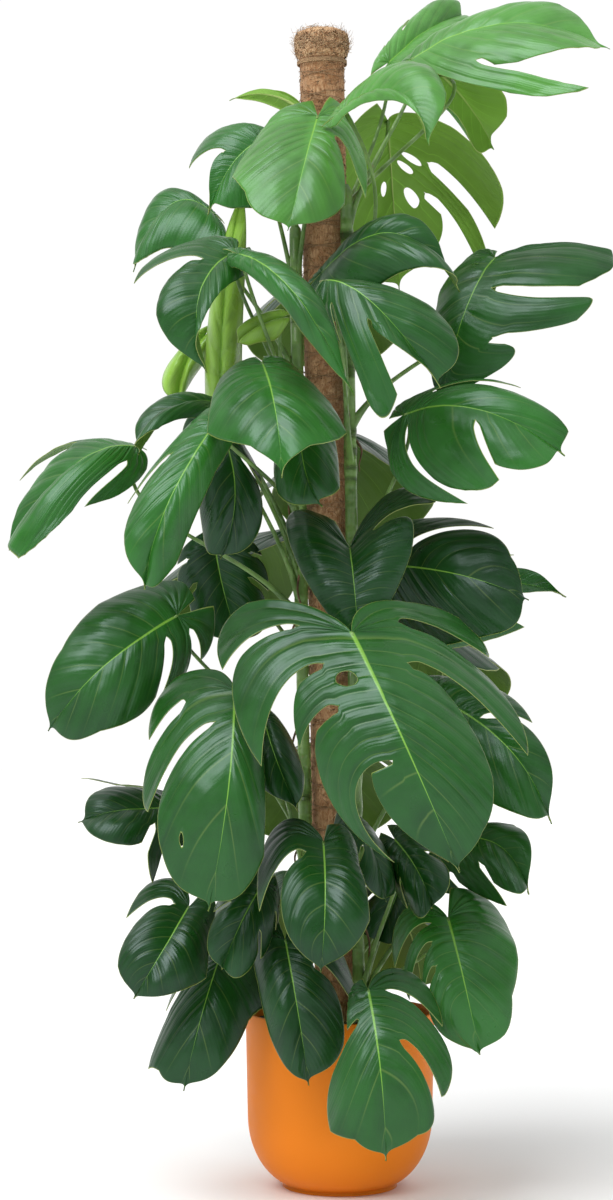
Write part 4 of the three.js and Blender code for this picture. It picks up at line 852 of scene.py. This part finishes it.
class Blade:
    """The shape of one leaf blade, in millimetres."""

    def __init__(self, row):
        base, middle, tip, left, right = (seen(point) for point in row["points"])
        self.rib = (base, middle, tip)
        widest = self.rib_point(WIDEST)
        self.sides = {"left": left - widest, "right": right - widest}
        self.width = max(side.length for side in self.sides.values())
        self.span = left - right
        self.halves = {side: lobes_of(row[side]) for side in SIDES}
        self.length = (middle - base).length + (tip - middle).length
        shift = len("leaf_" + row["name"])
        for side, offset in (("left", 0), ("right", 1.3)):
            for index, lobe in enumerate(self.halves[side]):
                lobe["lift"] = LOBE_LIFT * math.sin(2.4 * index + shift + offset)

    def rib_direction(self, along):
        base, middle, tip = self.rib
        s = max(along, 0)
        return base * (4 * s - 3) + middle * (4 - 8 * s) + tip * (4 * s - 1)

    def rib_point(self, along):
        base, middle, tip = self.rib
        s = max(along, 0)
        point = base * ((1 - s) * (1 - 2 * s)) + middle * (4 * s * (1 - s)) + tip * (s * (2 * s - 1))
        return point + self.rib_direction(0) * along if along < 0 else point

    def normal(self, along):
        return self.span.cross(self.rib_direction(along)).normalized()

    def point(self, side, index, across, t):
        """A point of a lobe, its share of the midrib and of the margin. across is 0 at the side towards
        the notch and 1 at the side towards the tip, and t runs out from the midrib."""
        lobe = self.halves[side][index]
        twin = self.halves["right" if side == "left" else "left"][index]
        own = between(lobe["start"], lobe["end"], across)
        root = 0.5 * (vein_root(own) + vein_root(between(twin["start"], twin["end"], across)))
        root = 0 if root < 0.03 else root
        # The slits on both sides narrow the whole lobe, not only its outermost cells
        gap = (slit_half(t, *lobe["before"]) * (1 - across) ** 2
               - slit_half(t, *lobe["after"]) * across ** 2)
        slit_before, slit_after = lobe["before"][0] % 1, lobe["after"][0] % 1
        free = between(slit_before, slit_after, across)
        # The corners beside a slit are rounded off
        corner = 1 - 0.1 * (slit_before > 0) * (1 - across) ** 3 - 0.03 * (slit_after > 0) * across ** 3
        corner -= 0.07 * (slit_before > 0) * (1 - across) ** 14
        reach = between(lobe["from"], lobe["to"], across) * corner
        u = 0 if t <= free else (t - free) / (1 - free)
        out = t if t <= free else between(free, reach, u)
        inner = min(out, free) ** 2
        swept = (between(lobe["sweep_in"], lobe["sweep_to"], across) * inner
                 + between(lobe["sweep_from"], lobe["sweep_to"], across) * (out * out - inner))
        along, aside = vein_point(own + gap + swept, out, root)
        share = min(abs(aside), 1)
        lift = (CROWN * 4 * share * (1 - share) - CURL * t ** 3 * share
                + lobe["lift"] * u * u * 4 * across * (1 - across))
        point = self.rib_point(along) + self.sides[side] * aside + self.normal(along) * lift
        return point, along, own

    def relief(self, point, side, turn, t, phi, pleat, fold):
        """How far a point stands off the smooth blade: swells between its side veins, waves and folds."""
        groove = abs(math.sin(math.pi * turn)) ** 0.75
        swell = pleat * (groove - 0.55) * min(1, t / 0.12) * (1 - 0.55 * t) * (1 - phi ** 5)
        ripple = (RIPPLE * math.sin(5.2 * phi * self.length / 60)
                  * max(0, t - RIPPLE_START) / (1 - RIPPLE_START) * (1 - phi ** 4))
        waves = sum(height * noise.noise(point * turns) for height, turns in WAVES)
        uneven = noise.noise(Vector((turn * 2.3, t * 1.6, FOLD_SEEDS[side])))
        return swell + waves + fold * uneven * min(1, t / 0.08) * (1 - 0.7 * t) + ripple

    def side_veins(self):
        """The margin's length at each lobe, and how many side veins run there: whole numbers between
        slits."""
        spans = []
        for index in range(len(self.halves["left"])):
            edges = []
            for side in SIDES:
                edge = [self.point(side, index, step / 8, 1)[0] for step in range(9)]
                edges.append(sum((b - a).length for a, b in zip(edge, edge[1:])))
            spans.append(max(edges))
        counts, joined = [], []
        for index, span in enumerate(spans):
            joined.append(span)
            slits = [self.halves[side][index]["after"][0] for side in SIDES]
            if min(slits) < 1 or index == len(spans) - 1:
                total = max(1, round(sum(joined) / max(VEIN_SPACING, 0.15 * self.length)))
                counts += [total * part / sum(joined) for part in joined]
                joined = []
        return spans, counts


def inside_box(point):
    """Draws a point that lies close to the side of the solids' box in, and keeps it inside."""
    for axis in range(3):
        low, high = SOLID_BOX[0][axis] / MM, SOLID_BOX[1][axis] / MM
        for sign, side in ((1, high), (-1, low)):
            over = sign * (point[axis] - side) + BOX_SOFT
            if over > 0:
                point[axis] = side - sign * BOX_SOFT * math.exp(-over / BOX_SOFT)
    return point


def blade_levels(width, cell):
    """Levels from the midrib out to the margin: close together at the midrib, then even."""
    first = [0] + [distance / width for distance in RIB_LEVELS]
    count = max(6, math.ceil(width / cell))
    return first + [between(first[-1], 1, step / count) for step in range(1, count + 1)]


def cut_hole(bm, places, across, out, half_across, half_out):
    """Cuts a hole into one lobe, whose vertices lie at places, and rounds it."""

    def far(vert):
        return math.hypot((places[vert][0] - across) / half_across, (places[vert][1] - out) / half_out)

    faces = {face for vert in places for face in vert.link_faces}
    gone = [face for face in faces if sum(far(vert) for vert in face.verts) < len(face.verts)]
    rim = {vert for face in gone for vert in face.verts}
    bmesh.ops.delete(bm, geom=gone, context="FACES")
    for vert in list(places):
        if not vert.is_valid:
            del places[vert]
        elif vert in rim:
            share = 1 / far(vert)
            places[vert] = (between(across, places[vert][0], share), between(out, places[vert][1], share))


def lobe_grid(bm, levels, columns, holes):
    """The vertices of a gridded lobe, each with its place: across the lobe, and out from the midrib."""
    rows = len(levels) - 1
    grid = bmesh.ops.create_grid(bm, x_segments=columns, y_segments=rows, size=0.5)["verts"]
    places = {vert: (round((vert.co.x + 0.5) * columns) / columns,
                     levels[round((vert.co.y + 0.5) * rows)]) for vert in grid}
    for hole in holes:
        cut_hole(bm, places, *hole)
    return places


def grow_blade(row, props, materials):
    """One leaf blade as a mesh of gridded lobes, given its thickness by a modifier."""
    blade = Blade(row)
    name = row["name"]
    cell = props.cell / MM * (REAR_CELLS if name.startswith("rear") else 1)
    bm = bmesh.new()
    veins_map = bm.loops.layers.uv.new("Veins")
    rib_map = bm.loops.layers.uv.new("Rib")
    thick = bm.verts.layers.deform.verify()
    levels = blade_levels(blade.width, cell)
    pleat = props.pleat / MM * min(1.3, max(0.45, blade.length / PLEAT_LENGTH))
    fold = props.fold / MM * (TENDER_FOLD if row["tone"] in TENDER else 1)
    rib_half = RIB_HALF * min(1.2, max(0.5, blade.length / RIB_LENGTH))
    thin = props.thickness / props.midrib
    turned = 0
    for index, (span, veins) in enumerate(zip(*blade.side_veins())):
        columns = max(5, min(MOST_COLUMNS, math.ceil(span / cell)))
        for side in SIDES:
            holes = [hole for half, lobe, *hole in HOLES.get(name, []) if (half, lobe) == (side, index)]
            places = lobe_grid(bm, levels, columns, holes)
            data = {}
            for vert, (across, t) in places.items():
                point, along, phi = blade.point(side, index, across, t)
                turn = turned + across * veins + 0.5
                raised = blade.relief(point, side, turn, t, phi, pleat, fold)
                vert.co = inside_box(point + blade.normal(along) * raised)
                share = max(0, min(1, along))
                apart = t * blade.width / (rib_half * (1 - 0.72 * share))
                data[vert] = (turn, t, apart, along)
                ridge = max(0, 1 - (apart / 1.15) ** 2) * (1 - 0.75 * share)
                small = 0.12 * max(0, 1 - abs((turn % 1 + 0.5) % 1 - 0.5) / 0.06) * (1 - t)
                vert[thick][0] = min(1, thin + small + (1 - thin) * ridge)
            faces = {face for vert in places for face in vert.link_faces}
            facing = Vector()
            for face in faces:
                for loop in face.loops:
                    turn, t, apart, along = data[loop.vert]
                    loop[veins_map].uv = (turn, t)
                    loop[rib_map].uv = (apart, along)
                face.normal_update()
                facing += face.normal * face.calc_area()
            if facing.dot(blade.normal(0.4)) < 0:
                bmesh.ops.reverse_faces(bm, faces=list(faces))
        turned += veins
    bmesh.ops.remove_doubles(bm, verts=bm.verts, dist=0.02)
    bmesh.ops.dissolve_degenerate(bm, edges=bm.edges, dist=0.01)
    margin = bm.verts.layers.float.new("margin")
    for vert in bm.verts:
        vert[margin] = 1.0 if vert.is_boundary else 0.0
    piece = new_piece("blade_" + name, bm, materials, ["leaf_" + name])
    piece.vertex_groups.new(name="thickness")
    solid = piece.modifiers.new("Thickness", "SOLIDIFY")
    solid.thickness = props.midrib
    solid.offset = -1
    solid.vertex_group = "thickness"
    solid.thickness_vertex_group = 0
    solid.material_offset = 1
    solid.material_offset_rim = 2
    return piece


# Stems, stalks and roots

def stem_place(stem, height):
    """The middle of a stem at a height: it stands upright in the soil, then leans with the pole."""
    angle = math.radians(STEM_ANGLES[stem])
    distance = SLEEVE_RADIUS + STEM_RADIUS + STEM_CLEARANCE
    leaning = max(height, SOIL_TOP) * POLE_LEAN
    return Vector((distance * math.cos(angle) - leaning, distance * math.sin(angle), height))


def stalk_points(row, count):
    """A leaf stalk: up from its stem, over, and in to the base of its blade."""
    blade = Blade(row)
    base, normal = blade.rib[0], blade.normal(0)
    end = base - normal * 4
    joint = max(LOWEST_JOINT, end.z - row["rise"])
    start = stem_place(row["stem"], min(joint, STEM_TOPS[row["stem"]] - JOINT_BELOW_TOP))
    first = start + (end - start).xy.to_3d() * 0.25 + Vector((0, 0, 0.45 * (end.z - start.z)))
    last = end - normal * row["bend"] - Vector((0, 0, 0.5 * row["bend"]))
    points = []
    for step in range(count + 1):
        s = step / count
        points.append(start * (1 - s) ** 3 + first * (3 * s * (1 - s) ** 2)
                      + last * (3 * s * s * (1 - s)) + end * s ** 3)
    into = blade.rib_direction(0).normalized()
    return points + [base - normal * 1.6 + into * 1.5, base - normal * 0.9 + into * 7]


def grow_vine(stem, props, material):
    """One climbing stem with its joints, and the stalks that grow from it with their sheaths."""
    bm = bmesh.new()
    rows = [row for row in LEAVES if row["stem"] == stem]
    joints = sorted(stalk_points(row, 4)[0].z for row in rows)
    top = STEM_TOPS[stem]
    heights = [STEM_FOOT + (top - STEM_FOOT) * step / STEM_STEPS for step in range(STEM_STEPS + 1)]
    path = [stem_place(stem, height) for height in heights]
    radii = []
    for point in path:
        swell = sum(bell(point.z, joint, JOINT_HEIGHT) for joint in joints)
        uneven = 0.05 * noise.noise(Vector((point.z * 0.09, STEM_ANGLES[stem], 0)))
        end = min(1, (top - point.z) / 14 + 0.35)
        radii.append(props.stem_radius / MM * (0.86 + 0.12 * min(1, swell) + uneven) * end)
    sweep(bm, path, radii, props.sides + 4)
    for row in rows:
        path = stalk_points(row, STALK_STEPS)
        radii = []
        for step in range(len(path)):
            s = step / (len(path) - 1)
            sheath = bell(s, 0, 0.10) + 0.35 * bell(s, 0, 0.32)
            knee = 0.28 * bell(s, 0.93, 0.035)
            radii.append(props.stalk_radius / MM * (0.86 + sheath + knee) * (0.45 if s == 1 else 1))
        sweep(bm, path, radii, props.sides)
    return new_piece("vine_" + stem, close_faces(bm), [material], ["stem_" + stem])


def grow_roots(props, material):
    """Aerial roots: they leave the stems at heights spread up each stem, and run down or reach for the
    pole.
    """
    rng = random.Random(ROOT_SEED)
    bm = bmesh.new()
    for stem, top in STEM_TOPS.items():
        for number in range(ROOTS):
            reach = top - LOWEST_ROOT - ROOTS_BELOW_TOP
            height = LOWEST_ROOT + reach * (number + rng.random() * 0.7) / ROOTS
            start = stem_place(stem, height)
            outward = (start - Vector((-height * POLE_LEAN, 0, height))).normalized()
            around = Vector((-outward.y, outward.x, 0)) * rng.choice((-1, 1))
            length = rng.uniform(*ROOT_LENGTHS)
            path, radii = [], []
            for step in range(ROOT_STEPS + 1):
                s = step / ROOT_STEPS
                clear = 12 * math.sin(math.pi * min(1, s * 1.2)) - 5 * s
                wander = noise.noise(Vector((number * 3.1, s * 3, STEM_ANGLES[stem]))) * 6 * s
                path.append(start + around * (6 + 16 * s + wander) + outward * clear
                            - Vector((0, 0, length * s)))
                radii.append(max(ROOT_RADII[0], ROOT_RADII[1] * (1 - 0.65 * step / ROOT_STEPS)))
            sweep(bm, path, radii, 7)
    return new_piece("aerial_roots", close_faces(bm), [material])


# Coir pole

def sleeve_profile():
    """The sleeve's outline from its foot up over the rolled top, as (radius, height)."""
    side = [(SLEEVE_RADIUS - 0.6, between(POLE_FOOT, NECK - NECK_SPACE, step / 240)) for step in range(241)]
    roll = []
    for step in range(1, 17):
        share = step / 16
        angle = math.pi * share
        roll.append((CAP_RADIUS - 4.5 + 4 * math.sin(angle) - 2.5 * share ** 6,
                     NECK - 4 + (CAP_HEIGHT - 2) * (1 - math.cos(angle)) / 2))
    top = [(24, POLE_TOP - 2.5), (14, POLE_TOP - 3.5), (6, POLE_TOP - 4), (0, POLE_TOP - 4)]
    return [(0, POLE_FOOT)] + side + roll + top


def plain_strand():
    """A plain three sided tube whose corners follow one another ring by ring."""
    bm = bmesh.new()
    sweep(bm, [Vector((0, 0, step)) for step in range(len(STRAND_TAPER))], [1] * len(STRAND_TAPER), 3)
    close_faces(bm)
    mesh = bpy.data.meshes.new("strand")
    bm.to_mesh(mesh)
    bm.free()
    return mesh


def add_strand(bm, plain, path, radius, shade, layer):
    """One coir strand: a three sided tapered tube along path."""
    start = len(bm.verts)
    bm.from_mesh(plain)
    bm.verts.ensure_lookup_table()
    rings = tube_rings(path, [radius * taper for taper in STRAND_TAPER], 3)
    for index, corner in enumerate((corner for ring in rings for corner in ring), start):
        bm.verts[index].co = corner
        bm.verts[index][layer] = shade


def strand_start(rng, cap):
    """Where a strand lies, by chance: its height, its distance from the axis, and how steep it runs."""
    if not cap:
        height = SOIL_TOP + (NECK - NECK_SPACE - SOIL_TOP) * rng.random() ** 0.6
        slope = rng.gauss(0, 0.35)
        if rng.random() < CROSSING_SHARE:
            slope = rng.uniform(-2.5, 2.5)
        return height, SLEEVE_RADIUS - 1, slope
    height = rng.uniform(NECK - 2, POLE_TOP - 3)
    share = (height - NECK + 4) / (CAP_HEIGHT - 2)
    surface = CAP_RADIUS - 4.6 + 4 * math.sin(math.pi * min(1, max(0, share)))
    if share > CAP_TOP_SHARE:
        surface *= rng.uniform(0.15, 1)
    return height, surface, rng.gauss(0, 0.5)


def strand_path(rng, number, cap):
    """A strand that lies along the sleeve or the cap, or stands off it with one end."""
    height, surface, slope = strand_start(rng, cap)
    reach, top = (CAP_RADIUS + 6, POLE_TOP + 6) if cap else (SLEEVE_RADIUS + 4, NECK - NECK_SPACE)
    angle = rng.uniform(0, FULL_TURN)
    length = rng.uniform(*STRAND_LENGTHS)
    loose = rng.random() < LOOSE_SHARE
    stand = rng.uniform(*(FLAT_STAND if not loose else CAP_STAND if cap else LOOSE_STAND))
    flat = length / math.hypot(1, slope)
    turn = flat / max(surface, 8) * rng.choice((-1, 1))
    path = []
    for step in range(len(STRAND_TAPER)):
        s = step / (len(STRAND_TAPER) - 1)
        out = surface - 0.6 + stand * (s * s * 1.1 if loose else math.sin(math.pi * s))
        z = height + slope * flat * (s - 0.5) + 1.2 * math.sin(5 * s + number)
        z += 5 * s * s * (loose and cap)
        path.append(round_axis(min(out, reach), angle + turn * s, max(min(z, top), LOWEST_STRAND)))
    return path


def wrap_pole(props, materials):
    """The coir sleeve with its rolled top: a matted core under thousands of loose strands."""
    rng = random.Random(COIR_SEED)
    bm = spun(sleeve_profile(), POLE_SEGMENTS)
    shade_layer = bm.verts.layers.float.new("shade")
    for vert in bm.verts:
        radius = math.hypot(vert.co.x, vert.co.y)
        matted = noise.noise(vert.co * 0.09) * 0.9 + noise.noise(vert.co * 0.32) * 0.8
        if radius > 5:
            wider = 1 + (matted - 0.9) / radius
            vert.co *= Vector((wider, wider, 1))
        else:
            vert.co.z += matted * 0.8
        cap = vert.co.z > NECK - 4
        vert[shade_layer] = (0.95 if cap else 0.5) + 0.35 * noise.noise(vert.co * 0.05)
    plain = plain_strand()
    for number in range(props.strands + props.cap_strands):
        cap = number >= props.strands
        path = strand_path(rng, number, cap)
        radius = props.strand_radius / MM * rng.uniform(0.7, 1.35)
        add_strand(bm, plain, path, radius, rng.uniform(0.5, 1.5) * (1.3 if cap else 0.8), shade_layer)
    bpy.data.meshes.remove(plain)
    lean(bm)
    return new_piece("coir_wrap", bm, materials, ["pole_coir"])


def wind_twine(material):
    """Turns of twine round the neck under the rolled top."""
    bm = bmesh.new()
    low = NECK - NECK_SPACE - TWINE_TURNS * TWINE_THICKNESS + 1.2
    rise = (TWINE_TURNS - 1) * TWINE_THICKNESS
    count = TWINE_STEPS * TWINE_TURNS
    path = [round_axis(SLEEVE_RADIUS + 0.4 + TWINE_THICKNESS / 2, FULL_TURN * step / TWINE_STEPS,
                       low + rise * step / count) for step in range(count + 1)]
    sweep(bm, path, [TWINE_THICKNESS / 2 * 0.97] * len(path), 8)
    lean(bm)
    return new_piece("neck_twine", close_faces(bm), [material], ["pole_twine"])


def wind_thread(material):
    """The thin thread that nets the coir down the whole pole, wound both ways."""
    bm = bmesh.new()
    count = THREAD_TURNS * THREAD_STEPS
    low, high = SOIL_TOP + 12, NECK - 18
    for hand, start in ((1, 0.4), (-1, 2.2)):
        path = []
        for step in range(count + 1):
            height = between(low, high, step / count)
            height += 2.5 * noise.noise(Vector((step * 0.05, hand, 0)))
            radius = SLEEVE_RADIUS - 0.1 + 0.35 * noise.noise(Vector((step * 0.2, 3, hand)))
            path.append(round_axis(radius, start + hand * FULL_TURN * step / THREAD_STEPS, height))
        sweep(bm, path, [THREAD_RADIUS] * len(path), 5)
    lean(bm)
    return new_piece("net_thread", close_faces(bm), [material])


# Pot and soil

def pot_profile(props):
    """The pot's outside and inside as (radius, height) in millimetres, from foot to foot."""
    height, wall = props.height / MM, props.wall / MM
    rim, foot = props.rim_radius / MM, props.foot_radius / MM
    centre, width, edge = props.edge_centre / MM, props.edge_width / MM, props.edge_height / MM

    def radius(z):
        if z >= edge:
            return between(centre + width, rim, (z - edge) / (height - edge))
        drop = (edge - z) / edge
        return centre + width * math.sqrt(max(0, 1 - drop * drop))

    heights = [5 + (edge - 5) * (1 - math.cos(math.pi / 2 * step / 22)) for step in range(23)]
    heights += [between(edge, height, step / 8) for step in range(1, 8)]
    outside = [(radius(z), z) for z in heights]
    inside = [(radius(z) - wall, z + wall) for z in heights if z < height - 3]
    lip = []
    for step in range(7):
        angle = math.pi * step / 6
        lip.append((rim - wall / 2 + wall / 2 * math.cos(angle),
                    height - wall / 2 + wall / 2 * math.sin(angle)))
    under = [(0, 2.2), (foot * 0.55, 2.2), (foot * 0.86, 2.0), (foot - 5, 0.6), (foot - 3, 0), (foot, 0),
             (foot + 3, 0.5), (radius(5) - 5, 3.2)]
    return under + outside + lip + inside[::-1] + [(0, 5 + wall)]


def soil_crown(flat):
    """How far the soil rises towards the pole, flat millimetres out from the middle."""
    return SOIL_CROWN * (1 - min(1, flat / SOIL_REACH)) ** 0.5


def fill_soil(material):
    """Potting mix: a lumpy surface with crumbs and bits of bark, sunk under the rim."""
    rng = random.Random(SOIL_SEED)
    bm = spun([(0, 9.8), (60, 9.8), (100, 40), (119, 110), (122, SOIL_TOP - 1)]
              + [(121.5 * (1 - step / 40), SOIL_TOP) for step in range(41)], SOIL_SEGMENTS)
    for vert in bm.verts:
        flat = math.hypot(vert.co.x, vert.co.y)
        if vert.co.z > SOIL_TOP - 2:
            lumps = 2.6 * noise.noise(vert.co * 0.05) + 1.5 * noise.noise(vert.co * 0.16)
            vert.co.z += soil_crown(flat) + lumps * min(1, (123 - flat) / 10)
    for _ in range(CRUMBS):
        angle, flat = rng.uniform(0, FULL_TURN), 116 * math.sqrt(rng.random())
        size = rng.uniform(*CRUMB_SIZES) * rng.choice((0.6, 1, 1))
        made = bmesh.ops.create_icosphere(bm, subdivisions=1, radius=size)["verts"]
        squash = Matrix.Diagonal((rng.uniform(0.7, 1.6), rng.uniform(0.6, 1.1), rng.uniform(0.35, 0.8)))
        turn = Matrix.Rotation(rng.uniform(0, 6.28), 3, "Z") @ Matrix.Rotation(rng.gauss(0, 0.4), 3, "X")
        where = round_axis(flat, angle, SOIL_TOP + soil_crown(flat) + size * 0.1)
        for vert in made:
            vert.co = turn @ (squash @ vert.co) * rng.uniform(0.9, 1.1) + where
    return new_piece("potting_mix", bm, [material], ["soil"], smooth=False)


# Operators

class PLANT_OT_pot(bpy.types.Operator):
    """Model the round plastic pot"""
    bl_idname = "swiss_plant.pot"
    bl_label = "Pot"

    def execute(self, context):
        props = settings().pot
        bm = spun(pot_profile(props), props.segments)
        new_piece("pot_shell", bm, [moulded_plastic("matt_plastic", props.colour)], ["pot"])
        return {"FINISHED"}


class PLANT_OT_soil(bpy.types.Operator):
    """Fill the pot with potting mix"""
    bl_idname = "swiss_plant.soil"
    bl_label = "Potting Mix"

    def execute(self, context):
        props = settings().pot
        fill_soil(potting_mix("potting_mix_finish", props.soil_dark, props.soil_light))
        return {"FINISHED"}


class PLANT_OT_pole(bpy.types.Operator):
    """Wrap the pole in coir and tie it with twine"""
    bl_idname = "swiss_plant.pole"
    bl_label = "Coir Pole"

    def execute(self, context):
        props = settings().pole
        wrap_pole(props, [coir_fibre("coir_fibre", props.dark, props.light)])
        wind_twine(twisted_twine("neck_twine_finish", props.twine))
        wind_thread(twisted_twine("net_thread_finish", tinted(props.twine, 0.8)))
        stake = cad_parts["pole_stake"]
        stake.data.materials.clear()
        stake.data.materials.append(raw_wood("raw_stake"))
        return {"FINISHED"}


class PLANT_OT_vines(bpy.types.Operator):
    """Grow the climbing stems with their leaf stalks"""
    bl_idname = "swiss_plant.vines"
    bl_label = "Climbing Stems"

    def execute(self, context):
        props = settings().vine
        skin = stem_skin("stem_skin", props.green, props.dark)
        for stem in STEM_ANGLES:
            grow_vine(stem, props, skin)
        return {"FINISHED"}


class PLANT_OT_roots(bpy.types.Operator):
    """Grow the aerial roots"""
    bl_idname = "swiss_plant.roots"
    bl_label = "Aerial Roots"

    def execute(self, context):
        props = settings().vine
        grow_roots(props, root_skin("root_skin", props.root))
        return {"FINISHED"}


def leaf_materials(tone, colour):
    """The upper side, the underside and the margin of one tone of leaf, made once."""
    names = [kind + tone for kind in ("leaf_upper_", "leaf_under_", "leaf_margin_")]
    if names[0] not in bpy.data.materials:
        leaf_upper(names[0], colour, tone in TENDER)
        leaf_under(names[1], colour, tone in TENDER)
        leaf_margin(names[2], colour)
    return [bpy.data.materials[name] for name in names]


def group_of(name):
    return "large" if name in LARGE else name.split("_")[0]


class LeafGroup:
    """Grows every leaf of one part of the plant."""
    group = ""

    def execute(self, context):
        props = settings().blade
        rows = [row for row in LEAVES if group_of(row["name"]) == self.group]
        if not rows:
            raise RuntimeError("no leaf belongs to the group " + self.group)
        for row in rows:
            grow_blade(row, props, leaf_materials(row["tone"], getattr(props, row["tone"])))
        return {"FINISHED"}


class PLANT_OT_crown_leaves(LeafGroup, bpy.types.Operator):
    """Grow the fresh leaves round the top of the pole"""
    bl_idname = "swiss_plant.crown_leaves"
    bl_label = "Crown Leaves"
    group = "crown"


class PLANT_OT_young_leaves(LeafGroup, bpy.types.Operator):
    """Grow the young, still narrow leaves"""
    bl_idname = "swiss_plant.young_leaves"
    bl_label = "Young Leaves"
    group = "young"


class PLANT_OT_upper_leaves(LeafGroup, bpy.types.Operator):
    """Grow the leaves of the upper third"""
    bl_idname = "swiss_plant.upper_leaves"
    bl_label = "Upper Leaves"
    group = "upper"


class PLANT_OT_middle_leaves(LeafGroup, bpy.types.Operator):
    """Grow the leaves at the middle of the pole"""
    bl_idname = "swiss_plant.middle_leaves"
    bl_label = "Middle Leaves"
    group = "middle"


class PLANT_OT_large_leaves(LeafGroup, bpy.types.Operator):
    """Grow the large slit leaves"""
    bl_idname = "swiss_plant.large_leaves"
    bl_label = "Large Leaves"
    group = "large"


class PLANT_OT_lower_leaves(LeafGroup, bpy.types.Operator):
    """Grow the leaves of the lower third"""
    bl_idname = "swiss_plant.lower_leaves"
    bl_label = "Lower Leaves"
    group = "lower"


class PLANT_OT_bottom_leaves(LeafGroup, bpy.types.Operator):
    """Grow the leaves that hang over the pot"""
    bl_idname = "swiss_plant.bottom_leaves"
    bl_label = "Bottom Leaves"
    group = "bottom"


class PLANT_OT_rear_leaves(LeafGroup, bpy.types.Operator):
    """Grow the leaves behind the pole"""
    bl_idname = "swiss_plant.rear_leaves"
    bl_label = "Rear Leaves"
    group = "rear"


def studio_sky(props):
    """A white world: bright behind the plant, above it and low down, dimmer up in front of it."""
    m = Nodes("studio_sky", "worlds", "Background")
    _, back, up = m.split(m.add("ShaderNodeTexCoord").outputs["Generated"])
    front = m.ramp(up, 0.2, 0.36, props.wall, props.front)
    walls = m.ramp(back, 0.0, 0.7, front, props.wall)
    return m.finish(strength=m.ramp(up, 0.3, 0.75, walls, props.ceiling), color=(1, 1, 1))


def soft_sun(name, strength, spread, place, target):
    data = bpy.data.lights.new(name, "SUN")
    data.energy, data.angle = strength, spread
    light = bpy.data.objects.new(name, data)
    light.location = place
    light.rotation_euler = (Vector(target) - Vector(place)).to_track_quat("-Z", "Y").to_euler()
    bpy.context.scene.collection.objects.link(light)


class PLANT_OT_stage(bpy.types.Operator):
    """Set the floor, the soft lights and the camera"""
    bl_idname = "swiss_plant.stage"
    bl_label = "Stage"

    def execute(self, context):
        props = settings().stage
        bm = bmesh.new()
        bmesh.ops.create_grid(bm, x_segments=8, y_segments=8, size=FLOOR_HALF)
        mesh = bpy.data.meshes.new("pale_floor")
        bm.to_mesh(mesh)
        bm.free()
        floor = bpy.data.objects.new("pale_floor", mesh)
        mesh.materials.append(pale_floor("floor_finish", props.floor))
        context.scene.collection.objects.link(floor)
        context.scene.world = studio_sky(props)
        soft_sun("key_light", props.key, props.key_spread, KEY_PLACE, KEY_TARGET)
        camera_data = bpy.data.cameras.new("photo_camera")
        camera_data.lens = FOCAL_PIXELS / PHOTO_HEIGHT * camera_data.sensor_width
        camera_data.clip_start, camera_data.clip_end = 0.1, 40
        camera = bpy.data.objects.new("photo_camera", camera_data)
        camera.location = EYE * MM
        camera.rotation_euler = (math.pi / 2, 0, 0)
        context.scene.collection.objects.link(camera)
        context.scene.camera = camera
        context.scene.view_settings.view_transform = "Standard"
        return {"FINISHED"}


OPERATORS = (
    PLANT_OT_stage, PLANT_OT_pot, PLANT_OT_soil, PLANT_OT_pole, PLANT_OT_vines, PLANT_OT_roots,
    PLANT_OT_crown_leaves, PLANT_OT_young_leaves, PLANT_OT_upper_leaves, PLANT_OT_middle_leaves,
    PLANT_OT_large_leaves, PLANT_OT_lower_leaves, PLANT_OT_bottom_leaves, PLANT_OT_rear_leaves,
)


class PLANT_PT_panel(bpy.types.Panel):
    """Buttons for each part of the plant"""
    bl_idname = "PLANT_PT_panel"
    bl_label = "Swiss Cheese Plant"
    bl_space_type = "VIEW_3D"
    bl_region_type = "UI"
    bl_category = "Plant"

    def draw(self, context):
        for operator in OPERATORS:
            self.layout.operator(operator.bl_idname)
        for group in ("pot", "pole", "vine", "blade", "stage"):
            box = self.layout.box()
            data = getattr(settings(), group)
            for key in data.bl_rna.properties.keys():
                if key not in {"rna_type", "name"}:
                    box.prop(data, key)


CLASSES = (PotSettings, PoleSettings, VineSettings, BladeSettings, StageSettings, PlantSettings,
           *OPERATORS, PLANT_PT_panel)


def register():
    for each in CLASSES:
        bpy.utils.register_class(each)
    bpy.types.Scene.swiss_cheese_plant = PointerProperty(type=PlantSettings)


def unregister():
    del bpy.types.Scene.swiss_cheese_plant
    for each in reversed(CLASSES):
        bpy.utils.unregister_class(each)


def main():
    register()
    for operator in OPERATORS:
        group, name = operator.bl_idname.split(".")
        getattr(getattr(bpy.ops, group), name)()


if __name__ == "__main__":
    main()
